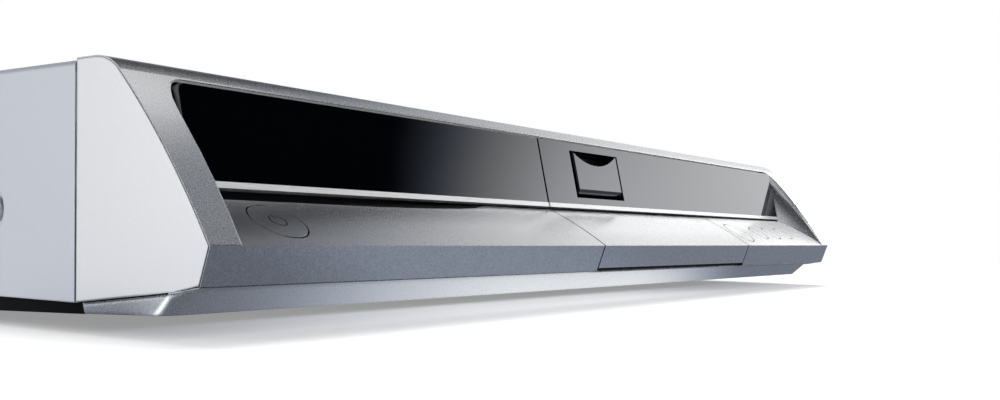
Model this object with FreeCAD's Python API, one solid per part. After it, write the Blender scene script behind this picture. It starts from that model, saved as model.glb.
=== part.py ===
import FreeCAD, Part
import math
import os

# Recorder with a disc tray, a hard disk and a sloped front. Sizes in millimetres.
# Shapes are drawn from the nose line of the front panel: x to the right seen from the front,
# y to the back, z up. They are moved at the end so that the feet stand on z = 0.

vec = FreeCAD.Vector

# whole object
half_width = 215.0
overall_depth = 330.0
foot_bottom_z = -22.0

# play between pieces
run_clearance = 0.05
slide_clearance = 0.1
seam_gap = 0.3
fixed_gap = 0.1

# side outline of the front, from the nose line
slope_top_y = 31.3
slope_top_z = 40.0
slope_bulge = 1.54
top_round_r = 12.8
front_top_z = 43.75
front_back_y = 47.6
face_foot_y = 3.15
face_foot_z = -9.0
knee_y = 10.95
knee_z = -10.6
cheek_back_z = -14.75

# side cheeks
cheek_thickness = 1.95
cheek_set_back = 0.25
cheek_mitre = 1.9
lip_set_in = 0.15

# front frame and its recess
frame_wall = 2.4
frame_side_wall = 3.4
frame_glass_play = 0.6
recess_half_nose = half_width - 9.25
recess_half_mid = half_width - 9.8
recess_mid_s = 34.0
recess_top_s = 50.1
recess_half_deck = half_width - 14.2
recess_edge_depth = 0.93

# control deck
deck_back_y = 23.03
deck_back_z = 12.55
deck_bulge = 0.62
plate_thickness = 2.2
deck_relief = 1.3
end_wall = 3.2
flap_left_x = -38.94
flap_right_x = half_width - 117.3
rib_thickness = 2.4

# windows
glass_foot_y = 23.35
glass_foot_z = 14.0
glass_lean = 0.2318
glass_top_z = 38.5
glass_corner_r = 2.0
glass_thickness = 2.5
glass_half_width = recess_half_deck - 0.35
split_x = -39.0
split_gap = 1.1
strip_foot_z = 13.55
strip_top_z = 15.12
strip_proud = 0.25

# panel behind the windows
inner_y = 35.0
inner_sheet = 1.5
inner_foot_z = -8.0
ledge_xs = (-36.0, 40.0, glass_half_width - 4.45)
ledge_width = 3.0
inner_leg_inset = 20.0
inner_leg_width = 15.0

# memory card door
card_left_x = -17.3
card_right_x = 21.2
card_foot_z = 17.7
card_top_z = 35.65
door_left_x = -14.9
door_right_x = 20.95
door_foot_z = 19.5
door_top_gap = 0.35
door_thickness = 3.0
door_set_back = 0.3
scoop_radius = 34.0
scoop_dip = 5.0
door_pin_r = 0.7
door_pin_length = 1.6
door_barrel_r = 1.45
door_pin_z = 21.1
door_pin_depth = 3.4
door_foot_r = 3.1
card_frame_wall = 1.1

# card socket
card_socket_front_y = 34.2
card_socket_back_y = 62.0
card_slot_half = 12.5
card_slot_z = 23.5
card_slot_height = 2.7

# buttons on the deck
button_s = 11.2
power_x = 29.0 - half_width
big_hole_r = 8.1
round_x = half_width - 105.3
small_xs = (half_width - 80.0, half_width - 62.5, half_width - 45.0)
small_hole_r = 5.6
button_gap = 0.45
button_travel = 0.6
button_flange = 1.1
button_seat = 0.02
stem_r = 2.2
stem_depth = 3.2
switch_size = 6.0
switch_height = 2.6
plunger_r = 1.7
plunger_height = 0.6
press_reserve = 0.25
board_sheet = 1.6
deck_board_sheet = 1.2
lamp_x = half_width - 25.5
lamp_s = 10.3
lamp_half_length = 4.5
lamp_half_height = 1.5

# flap in the middle
flap_gap = 0.8
flap_axis_y = 4.4
flap_axis_z = -7.6
flap_pin_r = 0.8
flap_pin_length = 2.4
flap_knuckle_r = 1.45
flap_relief_r = 1.8
flap_sweep_r = 2.05
flap_gusset = 1.8
slit_left_x = flap_left_x + 4.94
slit_right_x = flap_right_x - 22.7
slit_r = 2.3

# sockets behind the flap
jack_panel_y = 20.0
jack_panel_sheet = 1.5
jack_panel_foot_z = -7.4
jack_panel_top_z = 7.2
front_jack_z = -1.6
front_jack_r = 4.1
flap_span = flap_right_x - flap_left_x
front_jack_xs = [flap_left_x + flap_span * (0.2264 + 0.13175 * i) for i in range(3)]
din_x = flap_left_x + 0.0947 * flap_span
din_r = 4.7
data_x = flap_left_x + 0.6377 * flap_span
usb_x = flap_left_x + 0.8031 * flap_span
jack_board_y = 29.9

# lower skirt
skirt_top_half = half_width - 2.0
skirt_foot_half = half_width - 2.6
skirt_foot_y = 17.0
skirt_foot_z = -16.2
skirt_back_z = -17.35
skirt_corner_r = 5.0
skirt_wall = 1.8
band_gap = 0.22
band_depth = 1.4

# steel cover and base
cover_front_y = 48.05
cover_top_z = 43.4
cover_foot_z = -14.56
cover_sheet = 0.8
cover_bend_r = 1.6
hem_foot_z = 33.6
base_half = half_width - 2.6
base_sheet = 1.0
base_front_y = 47.9
base_front_z = -17.45
base_ramp_y = 84.0
base_z = -18.6
base_flange_z = 4.0
base_front_lip_z = -10.0
base_back_lip_z = -14.0
tab_xs = (55.0 - half_width, 0.0, half_width - 55.0)
tab_half = 10.0
tab_front_y = 38.0
rear_plate_y = 321.5
screw_dish_r = 6.4
screw_dish_floor_r = 4.6
side_screws = ((84.6, 7.9), (290.0, 7.9))
rear_screw_xs = (45.0 - half_width, 20.0, half_width - 13.0)
rear_screw_z = 37.0
screw_r = 1.5
screw_head_r = 3.4
screw_head = 1.5
screw_hole_r = 1.9

# vents: first slot, pitch, count, slot width
top_vent_x = half_width - 123.0
top_vent_pitch = 8.0
top_vent_count = 14
top_vent_y = 236.0
top_vent_length = 60.0
side_vent_y = 196.0
side_vent_pitch = 7.0
side_vent_count = 12
side_vent_z = 14.0
side_vent_height = 20.0
vent_width = 3.0
base_vent_xs = (19.0 - half_width, 95.0 - half_width, half_width - 115.0)
base_vent_y = 116.0
base_vent_pitch = 10.0
base_vent_count = 8

# feet
foot_r = 12.0
foot_x = half_width - 65.0
foot_places = [(x, y) for y in (98.0, overall_depth - 58.0) for x in (-foot_x, foot_x)]
pad_r = 9.5
pad_height = 0.9

# disc drive
drive_x = 94.6 - half_width
drive_half = 73.0
drive_wall = 2.0
drive_front_y = 38.0
drive_back_y = 214.0
drive_floor_z = 2.0
drive_rim_z = 27.0
drive_lid_z = 35.0
lid_sheet = 0.8
tray_half = 64.0
tray_foot_z = 19.2
tray_rim_z = 23.2
tray_well_z = 21.0
tray_back_y = 206.0
tray_slot_half = 18.0
tray_wall_y = 33.6
tray_wall_foot_z = 15.4
tray_wall_top_z = 34.0
tray_mouth_z = 16.5
guide_back_y = 210.0
guide_height = 1.6
disc_y = 104.0
disc_well_r = 60.7
small_well_r = 41.0
turntable_r = 15.0
turntable_z = 21.4
spindle_r = 1.5
sub_plate_z = 6.0
sub_plate_sheet = 2.0
rail_r = 1.5
rail_x = 24.0
rail_z = 11.0
screw_x = 34.0
sled_front_y = 120.0
sled_length = 21.0
thread_pitch = 2.6
thread_turns = 36
sled_motor_r = 5.5
tray_gear_r = 14.0
tray_gear_teeth = 28
pinion_r = 4.0
pinion_teeth = 8
gear_post_r = 2.0
gear_y = 62.0
rack_width = 4.0
rack_foot_z = 17.0
tooth_play = 0.2
clamp_r = 13.0
clamp_neck_r = 6.0
bridge_z = 29.2
bridge_sheet = 1.2

# hard disk
disk_x0 = base_half - 116.4
disk_width = 101.6
disk_y0 = 66.0
disk_length = 147.0
disk_z0 = -9.0
disk_height = 26.1
platter_r = 47.5
disk_lid_sheet = 1.6
disk_floor = 8.0
disk_axle_r = 3.0
bracket_sheet = 2.0

# boards
main_x0 = drive_x + drive_half + 1.4
main_x1 = disk_x0 - 6.0
main_width = 136.0
main_y0 = 64.0
main_y1 = 316.0
board_z = -9.0
power_x0 = 10.0 - half_width
power_x1 = main_x0 - 10.0
power_y0 = 226.0
power_y1 = 312.0
stand_r = 3.0
stand_inset = 6.0

# sockets on the back, how far they reach out
socket_reach = 8.5
jack_x = main_x0 + 8.0
jack_pitch = 16.0
jack_columns = int((main_x1 - main_x0 - 40.0) // jack_pitch)
jack_zs = (2.0, 18.0)
jack_r = 4.2
wide_x = 88.0 - half_width
wide_half = 24.5
wide_height = 15.0
wide_zs = (6.5, 25.5)
slim_x = main_x1 - 14.0
net_x = main_x1 - 13.5
inlet_x = 29.0 - half_width
inlet_z = -6.5
tuner_x = main_x0 - 38.0
tuner_half = 17.0
tuner_zs = (4.0, 22.0)

# fan
fan_x = half_width - 50.0
fan_z = 14.0
fan_half = 25.0
fan_depth = 15.0
fan_hole = 20.0
fan_bore_r = 23.6

# values that follow from the ones above
base_floor_z = base_z + base_sheet
board_top = board_z + board_sheet
rear_face_y = rear_plate_y + base_sheet
cover_back_y = rear_face_y + cover_sheet
frame_roof_z = front_top_z - frame_wall
room_half = half_width - frame_side_wall
lip_half = half_width - lip_set_in
plunger_depth = plate_thickness + stem_depth + button_travel + press_reserve
board_depth = plunger_depth + plunger_height + switch_height
disk_x1 = disk_x0 + disk_width
disk_y1 = disk_y0 + disk_length
disk_z1 = disk_z0 + disk_height
rack_x = drive_x - tray_half + 8.5
gear_x = rack_x + tray_gear_r
pinion_x = gear_x + tray_gear_r + pinion_r + fixed_gap
stand_places = [(x, y) for x in (main_x0 + stand_inset, main_x1 - stand_inset)
                for y in (main_y0 + 24.0, 190.0, main_y1 - 40.0)]
stand_places += [(x, y) for x in (power_x0 + stand_inset, power_x1 - stand_inset)
                 for y in (power_y0 + stand_inset, power_y1 - 26.0)]
jack_places = [(jack_x + jack_pitch * i, z) for i in range(jack_columns) for z in jack_zs]

shapes = {}


def box(x0, x1, y0, y1, z0, z1):
    return Part.makeBox(x1 - x0, y1 - y0, z1 - z0, vec(x0, y0, z0))


def rodx(x0, x1, y, z, r):
    return Part.makeCylinder(r, x1 - x0, vec(x0, y, z), vec(1, 0, 0))


def rody(y0, y1, x, z, r):
    return Part.makeCylinder(r, y1 - y0, vec(x, y0, z), vec(0, 1, 0))


def rodz(z0, z1, x, y, r):
    return Part.makeCylinder(r, z1 - z0, vec(x, y, z0), vec(0, 0, 1))


def line(a, b):
    return Part.makeLine(a, b)


def bow(a, b, rise, side):
    middle = (a + b) * 0.5 + side * rise
    return Part.Arc(a, middle, b).toShape()


def pull(corners, way):
    # closed flat outline pulled along a vector
    return Part.Face(Part.makePolygon(corners + [corners[0]])).extrude(way)


def prism(points, x0, x1):
    # closed outline of (y, z) points pulled from x0 to x1
    return pull([vec(x0, y, z) for y, z in points], vec(x1 - x0, 0, 0))


def plan(points, z0, z1):
    # closed outline of (x, y) points pulled from z0 to z1
    return pull([vec(x, y, z0) for x, y in points], vec(0, 0, z1 - z0))


def join(first, *others):
    for other in others:
        first = first.fuse(other)
    return first.removeSplitter()


def cut_all(solid, tools):
    for tool in tools:
        solid = solid.cut(tool)
    return solid


def keep(name, *solids):
    shapes[name] = [piece for solid in solids for piece in solid.Solids]


def unit(y, z):
    length = math.hypot(y, z)
    return vec(0, y / length, z / length)


slope_dir = unit(slope_top_y, slope_top_z)
slope_out = vec(0, -slope_dir.z, slope_dir.y)
deck_dir = unit(deck_back_y, deck_back_z)
deck_out = vec(0, -deck_dir.z, deck_dir.y)
deck_turn = math.degrees(math.atan2(deck_dir.z, deck_dir.y))
face_dir = unit(face_foot_y, face_foot_z)
face_in = vec(0, -face_dir.z, face_dir.y)
glass_dir = unit(glass_lean, 1.0)
glass_out = vec(0, -glass_dir.z, glass_dir.y)


def on_deck(x, s, depth=0.0):
    return vec(x, 0, 0) + deck_dir * s - deck_out * depth


def deck_rod(x, s, deep, high, r):
    # round rod square to the deck, from a depth under it to a height over it
    return Part.makeCylinder(r, deep + high, on_deck(x, s, deep), deck_out)


def glass_y(z):
    return glass_foot_y + (z - glass_foot_z) * glass_lean


def skirt_floor(y):
    # height of the skirt's inner floor
    fall = (skirt_back_z - skirt_foot_z) / (front_back_y - skirt_foot_y)
    return skirt_foot_z + fall * (y - skirt_foot_y) + skirt_wall


def meet(p, d, q, e):
    # crossing of two lines in the side view
    det = d.y * -e.z + e.y * d.z
    dy = q.y - p.y
    dz = q.z - p.z
    t = (dy * -e.z + e.y * dz) / det
    return p + d * t


def side_outline(inset, x):
    # side view outline of the front, moved in by inset
    eighth = math.pi / 4
    centre = vec(x, slope_top_y + top_round_r * math.sin(eighth), front_top_z - top_round_r)
    nose = vec(x, 0, 0)
    start = meet(nose - slope_out * inset, slope_dir, nose + face_in * inset, face_dir)
    round_r = top_round_r - inset
    end = centre + vec(0, -math.sin(eighth), math.cos(eighth)) * round_r
    mid = centre + vec(0, -math.sin(eighth / 2), math.cos(eighth / 2)) * round_r
    crown = centre + vec(0, 0, round_r)
    back_top = vec(x, front_back_y - inset, front_top_z - inset)
    low_dir = unit(front_back_y - knee_y, cheek_back_z - knee_z)
    low_in = vec(0, -low_dir.z, low_dir.y)
    knee = vec(x, knee_y, knee_z)
    step_dir = unit(knee_y - face_foot_y, knee_z - face_foot_z)
    step_in = vec(0, -step_dir.z, step_dir.y)
    back_low = meet(knee + low_in * inset, low_dir, vec(x, front_back_y - inset, 0), vec(0, 0, 1))
    knee_in = meet(knee + low_in * inset, low_dir, knee + step_in * inset, step_dir)
    foot_in = meet(knee + step_in * inset, step_dir, nose + face_in * inset, face_dir)
    edges = [bow(start, end, slope_bulge, slope_out)]
    edges.append(Part.Arc(end, mid, crown).toShape())
    edges.append(line(crown, back_top))
    edges.append(line(back_top, back_low))
    edges.append(line(back_low, knee_in))
    edges.append(line(knee_in, foot_in))
    edges.append(line(foot_in, start))
    return Part.Wire(edges)


def side_solid(inset, x0, x1):
    return Part.Face(side_outline(inset, x0)).extrude(vec(x1 - x0, 0, 0))


def cheek_form(side, grow):
    # mitred plate; grown at its rim for the pocket, with its inner face on the pocket floor
    outer = side_outline(cheek_set_back - grow, side * half_width)
    inner = side_outline(cheek_set_back + cheek_mitre - grow, side * (half_width - cheek_thickness))
    return Part.makeLoft([outer, inner], True, True)


def make_cheeks():
    keep("cheek_left", cheek_form(-1, 0.0))
    keep("cheek_right", cheek_form(1, 0.0))


def cut_pockets(solid):
    return cut_all(solid, [cheek_form(side, fixed_gap) for side in (-1, 1)])


def recess_wire(level):
    # level 0 is the edge on the slope, level 1 the back edge of the recess walls
    if level == 0:
        base = vec(0, 0, 0)
        run = slope_dir
        half = (recess_half_nose, recess_half_mid)
        straight = recess_mid_s
        top = recess_top_s
        pulls = (0.55, 1.7, 7.7)
    else:
        top_point = slope_dir * recess_top_s - slope_out * recess_edge_depth
        base = vec(0, deck_back_y, deck_back_z)
        run = unit(top_point.y - base.y, top_point.z - base.z)
        half = (recess_half_deck, recess_half_deck + 0.15)
        top = math.hypot(top_point.y - base.y, top_point.z - base.z)
        straight = top - 4.0
        pulls = (0.0, 0.5, 2.6)

    def at(x, s):
        return base + run * s + vec(x, 0, 0)

    def corner(side):
        poles = [at(side * half[1], straight)]
        poles.append(at(side * (half[1] - pulls[0] * 0.4), straight + (top - straight) * 0.65))
        poles.append(at(side * (half[1] - pulls[1]), top))
        poles.append(at(side * (half[1] - pulls[2]), top))
        curve = Part.BezierCurve()
        curve.setPoles(poles)
        return curve.toShape(), poles

    left, left_poles = corner(-1)
    right, right_poles = corner(1)
    edges = [line(at(-half[0], 0), left_poles[0]), left]
    edges.append(line(left_poles[3], right_poles[3]))
    edges.append(right)
    edges.append(line(right_poles[0], at(half[0], 0)))
    edges.append(line(at(half[0], 0), at(-half[0], 0)))
    return Part.Wire(Part.__sortEdges__(edges))


def recess_form():
    front = recess_wire(0)
    back = recess_wire(1)
    walls = Part.makeLoft([front, back], True, True)
    ahead = Part.Face(front).extrude(slope_out * 6.0)
    behind = Part.Face(back).extrude(vec(0, 14.0, -1.0))
    return walls.fuse(ahead).fuse(behind)


def under_deck(extra):
    # everything under the deck surface and behind its back edge
    x = -half_width - 15.0
    a = vec(x, 0, 0) + deck_out * extra
    b = vec(x, deck_back_y, deck_back_z) + deck_out * extra
    far_y = front_back_y + 12.0
    edges = [bow(a, b, deck_bulge, deck_out)]
    corners = [b, vec(x, far_y, deck_back_z + extra), vec(x, far_y, -40), vec(x, -10, -40)]
    corners += [vec(x, -10, a.z), a]
    for first, second in zip(corners[:-1], corners[1:]):
        edges.append(line(first, second))
    return Part.Face(Part.Wire(edges)).extrude(vec(-2 * x, 0, 0))


def make_front_frame():
    body = side_solid(0.0, -lip_half, lip_half)
    foot_z = deck_back_z - 1.5
    low = glass_y(foot_z) + glass_thickness + frame_glass_play
    high = glass_y(frame_roof_z) + glass_thickness + frame_glass_play + 0.4
    far_y = front_back_y + 12.0
    room = [(low, foot_z), (high, frame_roof_z), (far_y, frame_roof_z), (far_y, foot_z)]
    body = body.cut(prism(room, -room_half, room_half))
    body = body.cut(recess_form())
    body = body.cut(under_deck(0.0))
    keep("front_frame", cut_pockets(body))


def deck_section(x0, x1, thick):
    # bent plate: the deck and the face under the nose line
    nose = vec(x0, 0, 0)
    back = vec(x0, deck_back_y, deck_back_z)
    foot = vec(x0, face_foot_y, face_foot_z)
    inner = meet(nose - deck_out * thick, deck_dir, nose + face_in * thick, face_dir)
    edges = [bow(nose, back, deck_bulge, deck_out)]
    corners = [back, back - deck_out * thick, inner, foot + face_in * thick, foot, nose]
    for first, second in zip(corners[:-1], corners[1:]):
        edges.append(line(first, second))
    return Part.Face(Part.Wire(edges)).extrude(vec(x1 - x0, 0, 0))


def deck_end_wall(x0, x1):
    # closes the side of the front below the deck, behind the cheek
    back = front_back_y - 0.4
    points = [(0, 0), (deck_back_y, deck_back_z), (back, deck_back_z), (back, cheek_back_z + 0.25)]
    points += [(knee_y, knee_z + 0.25), (face_foot_y, face_foot_z)]
    return prism(points, x0, x1)


def flap_rib(x0, x1):
    # rib that carries a pin of the flap and holds the end of the socket panel
    reach = on_deck(0, 22.0)
    back = jack_panel_y + jack_panel_sheet
    points = [(0, 0), (reach.y, reach.z), (back, jack_panel_top_z + 0.8), (back, jack_panel_foot_z)]
    points += [(9.0, jack_panel_foot_z), (7.0, face_foot_z), (face_foot_y, face_foot_z)]
    return prism(points, x0, x1)


def pin_bore(x0, x1):
    return rodx(x0, x1, flap_axis_y, flap_axis_z, flap_pin_r + run_clearance)


def board_post(x, s):
    return Part.makeCylinder(1.6, board_depth - plate_thickness + 0.5, on_deck(x, s, board_depth), deck_out)


def deck_tail(x, low, high):
    # cross section of the relief along the deck's back edge
    a = vec(x, 0, 0)
    corners = [a + on_deck(0, 21.2) + deck_out * low, a + on_deck(0, 27.0) + deck_out * high]
    corners.append(a + on_deck(0, 27.0) + deck_out * 3.0)
    return Part.makePolygon(corners + [corners[0]])


def make_deck_left():
    right = flap_left_x - flap_gap / 2
    left = -lip_half
    posts = [board_post(x, s) for x in (power_x - 19.0, power_x + 23.0) for s in (8.0, 18.5)]
    body = join(deck_section(left, right, plate_thickness), deck_end_wall(left, left + end_wall),
                flap_rib(right - rib_thickness, right), *posts)
    body = body.cut(deck_rod(power_x, button_s, 8.0, 4.0, big_hole_r))
    body = body.cut(pin_bore(right - rib_thickness, right + 1))
    # the back edge falls away from the strip towards the left end
    ends = [deck_tail(-recess_half_deck - 6, 0.1, -deck_relief * 2.2), deck_tail(right, 0.75, 0.7)]
    body = body.cut(Part.makeLoft(ends, True, True))
    keep("deck_left", cut_pockets(body))


def make_deck_right():
    left = flap_right_x + flap_gap / 2
    right = lip_half
    posts = [board_post(x, s) for x in (small_xs[0] - 13.0, lamp_x + 9.5) for s in (8.0, 18.5)]
    body = join(deck_section(left, right, plate_thickness), deck_end_wall(right - end_wall, right),
                flap_rib(left, left + rib_thickness), *posts)
    holes = [deck_rod(round_x, button_s, 8.0, 4.0, big_hole_r)]
    holes += [deck_rod(x, button_s, 8.0, 4.0, small_hole_r) for x in small_xs]
    holes += [lamp_form(6.0, 4.0), pin_bore(left - 1, left + rib_thickness)]
    keep("deck_right", cut_pockets(cut_all(body, holes)))


def lamp_form(deep, high):
    # oval light pipe through the deck
    half = lamp_half_length - lamp_half_height
    r = lamp_half_height
    bar = Part.makeBox(2 * half, 2 * r, deep + high)
    bar.translate(vec(-half, -r, 0))
    bar.rotate(vec(0, 0, 0), vec(1, 0, 0), deck_turn)
    bar.translate(on_deck(lamp_x, lamp_s, deep))
    ends = [deck_rod(lamp_x + side * half, lamp_s, deep, high, r) for side in (-1, 1)]
    return join(ends[0], ends[1], bar)


def deck_cap(x, s, r):
    # button: cap flush with the bowed deck, flange under the plate, stem down to the switch
    cap = deck_rod(x, s, plate_thickness + button_seat + 0.2, 3.0, r).common(under_deck(0.0))
    flange_top = plate_thickness + button_seat
    flange = deck_rod(x, s, flange_top + 0.9, -flange_top, r + button_flange)
    stem = deck_rod(x, s, plate_thickness + stem_depth, -flange_top - 0.5, stem_r)
    return join(cap, flange, stem)


def make_buttons():
    big = big_hole_r - button_gap
    small = small_hole_r - button_gap
    keep("power_button", deck_cap(power_x, button_s, big))
    keep("round_button", deck_cap(round_x, button_s, big))
    for count, x in enumerate(small_xs):
        keep("small_button_%d" % (count + 1), deck_cap(x, button_s, small))
    keep("lamp_lens", lamp_form(3.4, 2.0).common(under_deck(-run_clearance)))


def switch_form(x, s):
    body = Part.makeBox(switch_size, switch_size, switch_height)
    body.translate(vec(-switch_size / 2, -switch_size / 2, 0))
    body.rotate(vec(0, 0, 0), vec(1, 0, 0), deck_turn)
    body.translate(on_deck(x, s, board_depth))
    plunger = deck_rod(x, s, plunger_depth + plunger_height + 0.3, -plunger_depth, plunger_r)
    return join(body, plunger)


def board_form(x0, x1, s0, s1):
    a = on_deck(x0, s0, board_depth)
    b = on_deck(x0, s1, board_depth)
    down = deck_out * deck_board_sheet
    return pull([a, b, b - down, a - down], vec(x1 - x0, 0, 0))


def make_front_boards():
    keep("switches", *[switch_form(x, button_s) for x in (power_x, round_x) + small_xs])
    left = board_form(power_x - 22.0, power_x + 26.0, 5.0, 21.0)
    right = board_form(round_x - 8.7, lamp_x + 13.5, 5.0, 21.0)
    keep("front_boards", left, right)


def make_flap():
    left = flap_left_x + flap_gap / 2
    right = flap_right_x - flap_gap / 2
    reach = on_deck(0, 10.0)
    gusset = [(0.0, 0.0), (reach.y, reach.z), (face_foot_y + 2.0, face_foot_z + 0.7)]
    gusset.append((face_foot_y, face_foot_z))
    body = join(deck_section(left, right, plate_thickness), prism(gusset, left, left + flap_gusset),
                prism(gusset, right - flap_gusset, right))
    # the lower edge is rounded about the hinge axis so that it turns inside the seam
    low_box = box(left - 1, right + 1, 0, 9, face_foot_z - 1, flap_axis_z - 0.4)
    barrel = rodx(left - 1, right + 1, flap_axis_y, flap_axis_z, flap_knuckle_r)
    body = body.cut(low_box.cut(barrel))
    body = join(body, rodx(left, right, flap_axis_y, flap_axis_z, flap_knuckle_r - run_clearance))
    pins = rodx(left - flap_pin_length, right + flap_pin_length, flap_axis_y, flap_axis_z, flap_pin_r)
    keep("jack_flap", join(body, pins))


def skirt_wire(top, grow):
    # plan outline of the skirt with rounded front corners
    if top:
        half = skirt_top_half - grow
        front = knee_y + grow * 1.3
        fall = (cheek_back_z - knee_z) / (front_back_y - knee_y)
        zero = knee_z - fall * knee_y + (3.0 if grow else 0.0)
    else:
        half = skirt_foot_half - grow
        front = skirt_foot_y + grow * 1.3
        fall = (skirt_back_z - skirt_foot_z) / (front_back_y - skirt_foot_y)
        zero = skirt_foot_z - fall * skirt_foot_y + grow
    back = front_back_y + (3.0 if grow else 0.0)
    r = skirt_corner_r - grow * 0.5
    k = r * (1 - math.sqrt(0.5))

    def at(x, y):
        return vec(x, y, zero + fall * y)

    edges = [line(at(-half, back), at(-half, front + r))]
    edges.append(Part.Arc(at(-half, front + r), at(-half + k, front + k), at(-half + r, front)).toShape())
    edges.append(line(at(-half + r, front), at(half - r, front)))
    edges.append(Part.Arc(at(half - r, front), at(half - k, front + k), at(half, front + r)).toShape())
    edges.append(line(at(half, front + r), at(half, back)))
    edges.append(line(at(half, back), at(-half, back)))
    return Part.Wire(edges)


def make_skirt():
    outer = Part.makeLoft([skirt_wire(True, 0.0), skirt_wire(False, 0.0)], True, True)
    inner = Part.makeLoft([skirt_wire(True, skirt_wall), skirt_wire(False, skirt_wall)], True, True)
    step = unit(knee_y - face_foot_y, knee_z - face_foot_z)
    lift = vec(0, -step.z, step.y) * band_depth
    start = vec(0, face_foot_y, face_foot_z) + step * 0.15
    end = vec(0, knee_y, knee_z)
    band = [(start.y, start.z - band_gap), (end.y, end.z)]
    band += [(end.y + 2.6, end.z - 0.3), (end.y + 2.6, end.z + 1.2)]
    band.append((start.y + lift.y, start.z + lift.z - band_gap))
    plate = prism(band, -lip_half, lip_half)
    far = half_width + 5.0
    seam = deck_section(-far, far, plate_thickness)
    plate = plate.cut(seam)
    seam.translate(vec(0, 0, -band_gap))
    inner_end = lip_half - end_wall
    plate = cut_all(plate, [seam, deck_end_wall(-far, -inner_end), deck_end_wall(inner_end, far)])
    body = join(outer.cut(inner), plate)
    left = flap_left_x - flap_gap / 2
    right = flap_right_x + flap_gap / 2
    reach = rib_thickness + 0.2
    tools = [rodx(left - reach, right + reach, flap_axis_y, flap_axis_z, flap_relief_r)]
    tools.append(box(left - reach, right + reach, 0, 9.2, face_foot_z, 0))
    tools.append(rodx(left, right, flap_axis_y, flap_axis_z, flap_sweep_r))
    tools.append(rodx(slit_left_x, slit_right_x, flap_axis_y, flap_axis_z, slit_r))
    keep("lower_skirt", cut_pockets(cut_all(body, tools)))


def glass_slab(x0, x1, z0, z1, ahead, behind):
    # slab parallel to the window plane, from ahead of it to behind it
    a = vec(x0, glass_y(z0), z0)
    b = vec(x0, glass_y(z1), z1)
    front = glass_out * ahead
    back = glass_out * behind
    return pull([a + front, b + front, b - back, a - back], vec(x1 - x0, 0, 0))


def glass_corner(side):
    # what the rounded upper corner of a window leaves out
    x = side * glass_half_width
    near = x - side * glass_corner_r
    z = glass_top_z - glass_corner_r
    block = box(min(x + side, near), max(x + side, near), 20, 40, z, glass_top_z + 1)
    return block.cut(rody(19, 41, near, z, glass_corner_r))


def make_windows():
    left_end = split_x - split_gap / 2
    right_start = split_x + split_gap / 2
    window = glass_slab(right_start, glass_half_width, strip_top_z, glass_top_z, 0.0, glass_thickness)
    hole = glass_slab(card_left_x, card_right_x, card_foot_z, card_top_z, 3.0, 8.0)
    keep("display_window", cut_all(window, [hole, glass_corner(1)]))
    panel = glass_slab(-glass_half_width, left_end, strip_top_z, glass_top_z, 0.0, glass_thickness)
    keep("tray_front", panel.cut(glass_corner(-1)))
    ends = {"display_strip": (right_start, glass_half_width), "tray_strip": (-glass_half_width, left_end)}
    for name, (x0, x1) in ends.items():
        keep(name, glass_slab(x0, x1, strip_foot_z, strip_top_z, strip_proud, glass_thickness))


def door_pin_point():
    # the hinge line of the card door lies behind the window
    z = door_pin_z + glass_out.z * door_pin_depth
    return vec(0, glass_y(z), z) - glass_out * door_pin_depth


def make_card_door():
    pin = door_pin_point()
    top = card_top_z - door_top_gap
    behind = door_set_back + door_thickness
    door = glass_slab(door_left_x, door_right_x, door_foot_z, top, -door_set_back, behind)
    middle = (door_left_x + door_right_x) / 2
    rim_z = top - scoop_dip
    centre = vec(middle, glass_y(rim_z), rim_z) + glass_dir * scoop_radius
    start = centre + glass_out * 6.0
    tool = Part.makeCone(scoop_radius + 1.6, scoop_radius - 3.2, 14.0, start, glass_out * -1.0)
    door = door.cut(tool)
    # the foot is rounded about the hinge line
    low = box(door_left_x - 1, door_right_x + 1, 0, 60, door_foot_z - 3, pin.z)
    door = door.cut(low.cut(rodx(door_left_x - 2, door_right_x + 2, pin.y, pin.z, door_foot_r)))
    barrel = rodx(door_left_x, door_right_x, pin.y, pin.z, door_barrel_r)
    pins = rodx(door_left_x - door_pin_length, door_right_x + door_pin_length, pin.y, pin.z, door_pin_r)
    keep("card_door", join(door, barrel, pins))


def make_card_door_frame():
    # frame behind the window that holds the door's pins, flat on the inner panel
    pin = door_pin_point()
    left = card_left_x - 2.0
    right = card_right_x + 2.0
    foot = card_foot_z - 0.1 - card_frame_wall
    roof = card_top_z + card_frame_wall - 0.1
    blocks = [glass_slab(left, door_left_x - seam_gap, foot, roof, -glass_thickness, 9.0)]
    blocks.append(glass_slab(door_right_x + seam_gap, right, foot, roof, -glass_thickness, 9.0))
    blocks.append(glass_slab(left, right, foot, card_foot_z - 0.1, -glass_thickness, 9.0))
    blocks.append(glass_slab(left, right, card_top_z, roof, -glass_thickness, 9.0))
    frame = join(*blocks)
    frame = frame.cut(box(left - 1, right + 1, inner_y, inner_y + 10, 0, 50))
    reach = door_pin_length + 0.2
    bores = rodx(door_left_x - reach, door_right_x + reach, pin.y, pin.z, door_pin_r + run_clearance)
    keep("card_door_frame", frame.cut(bores))


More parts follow.
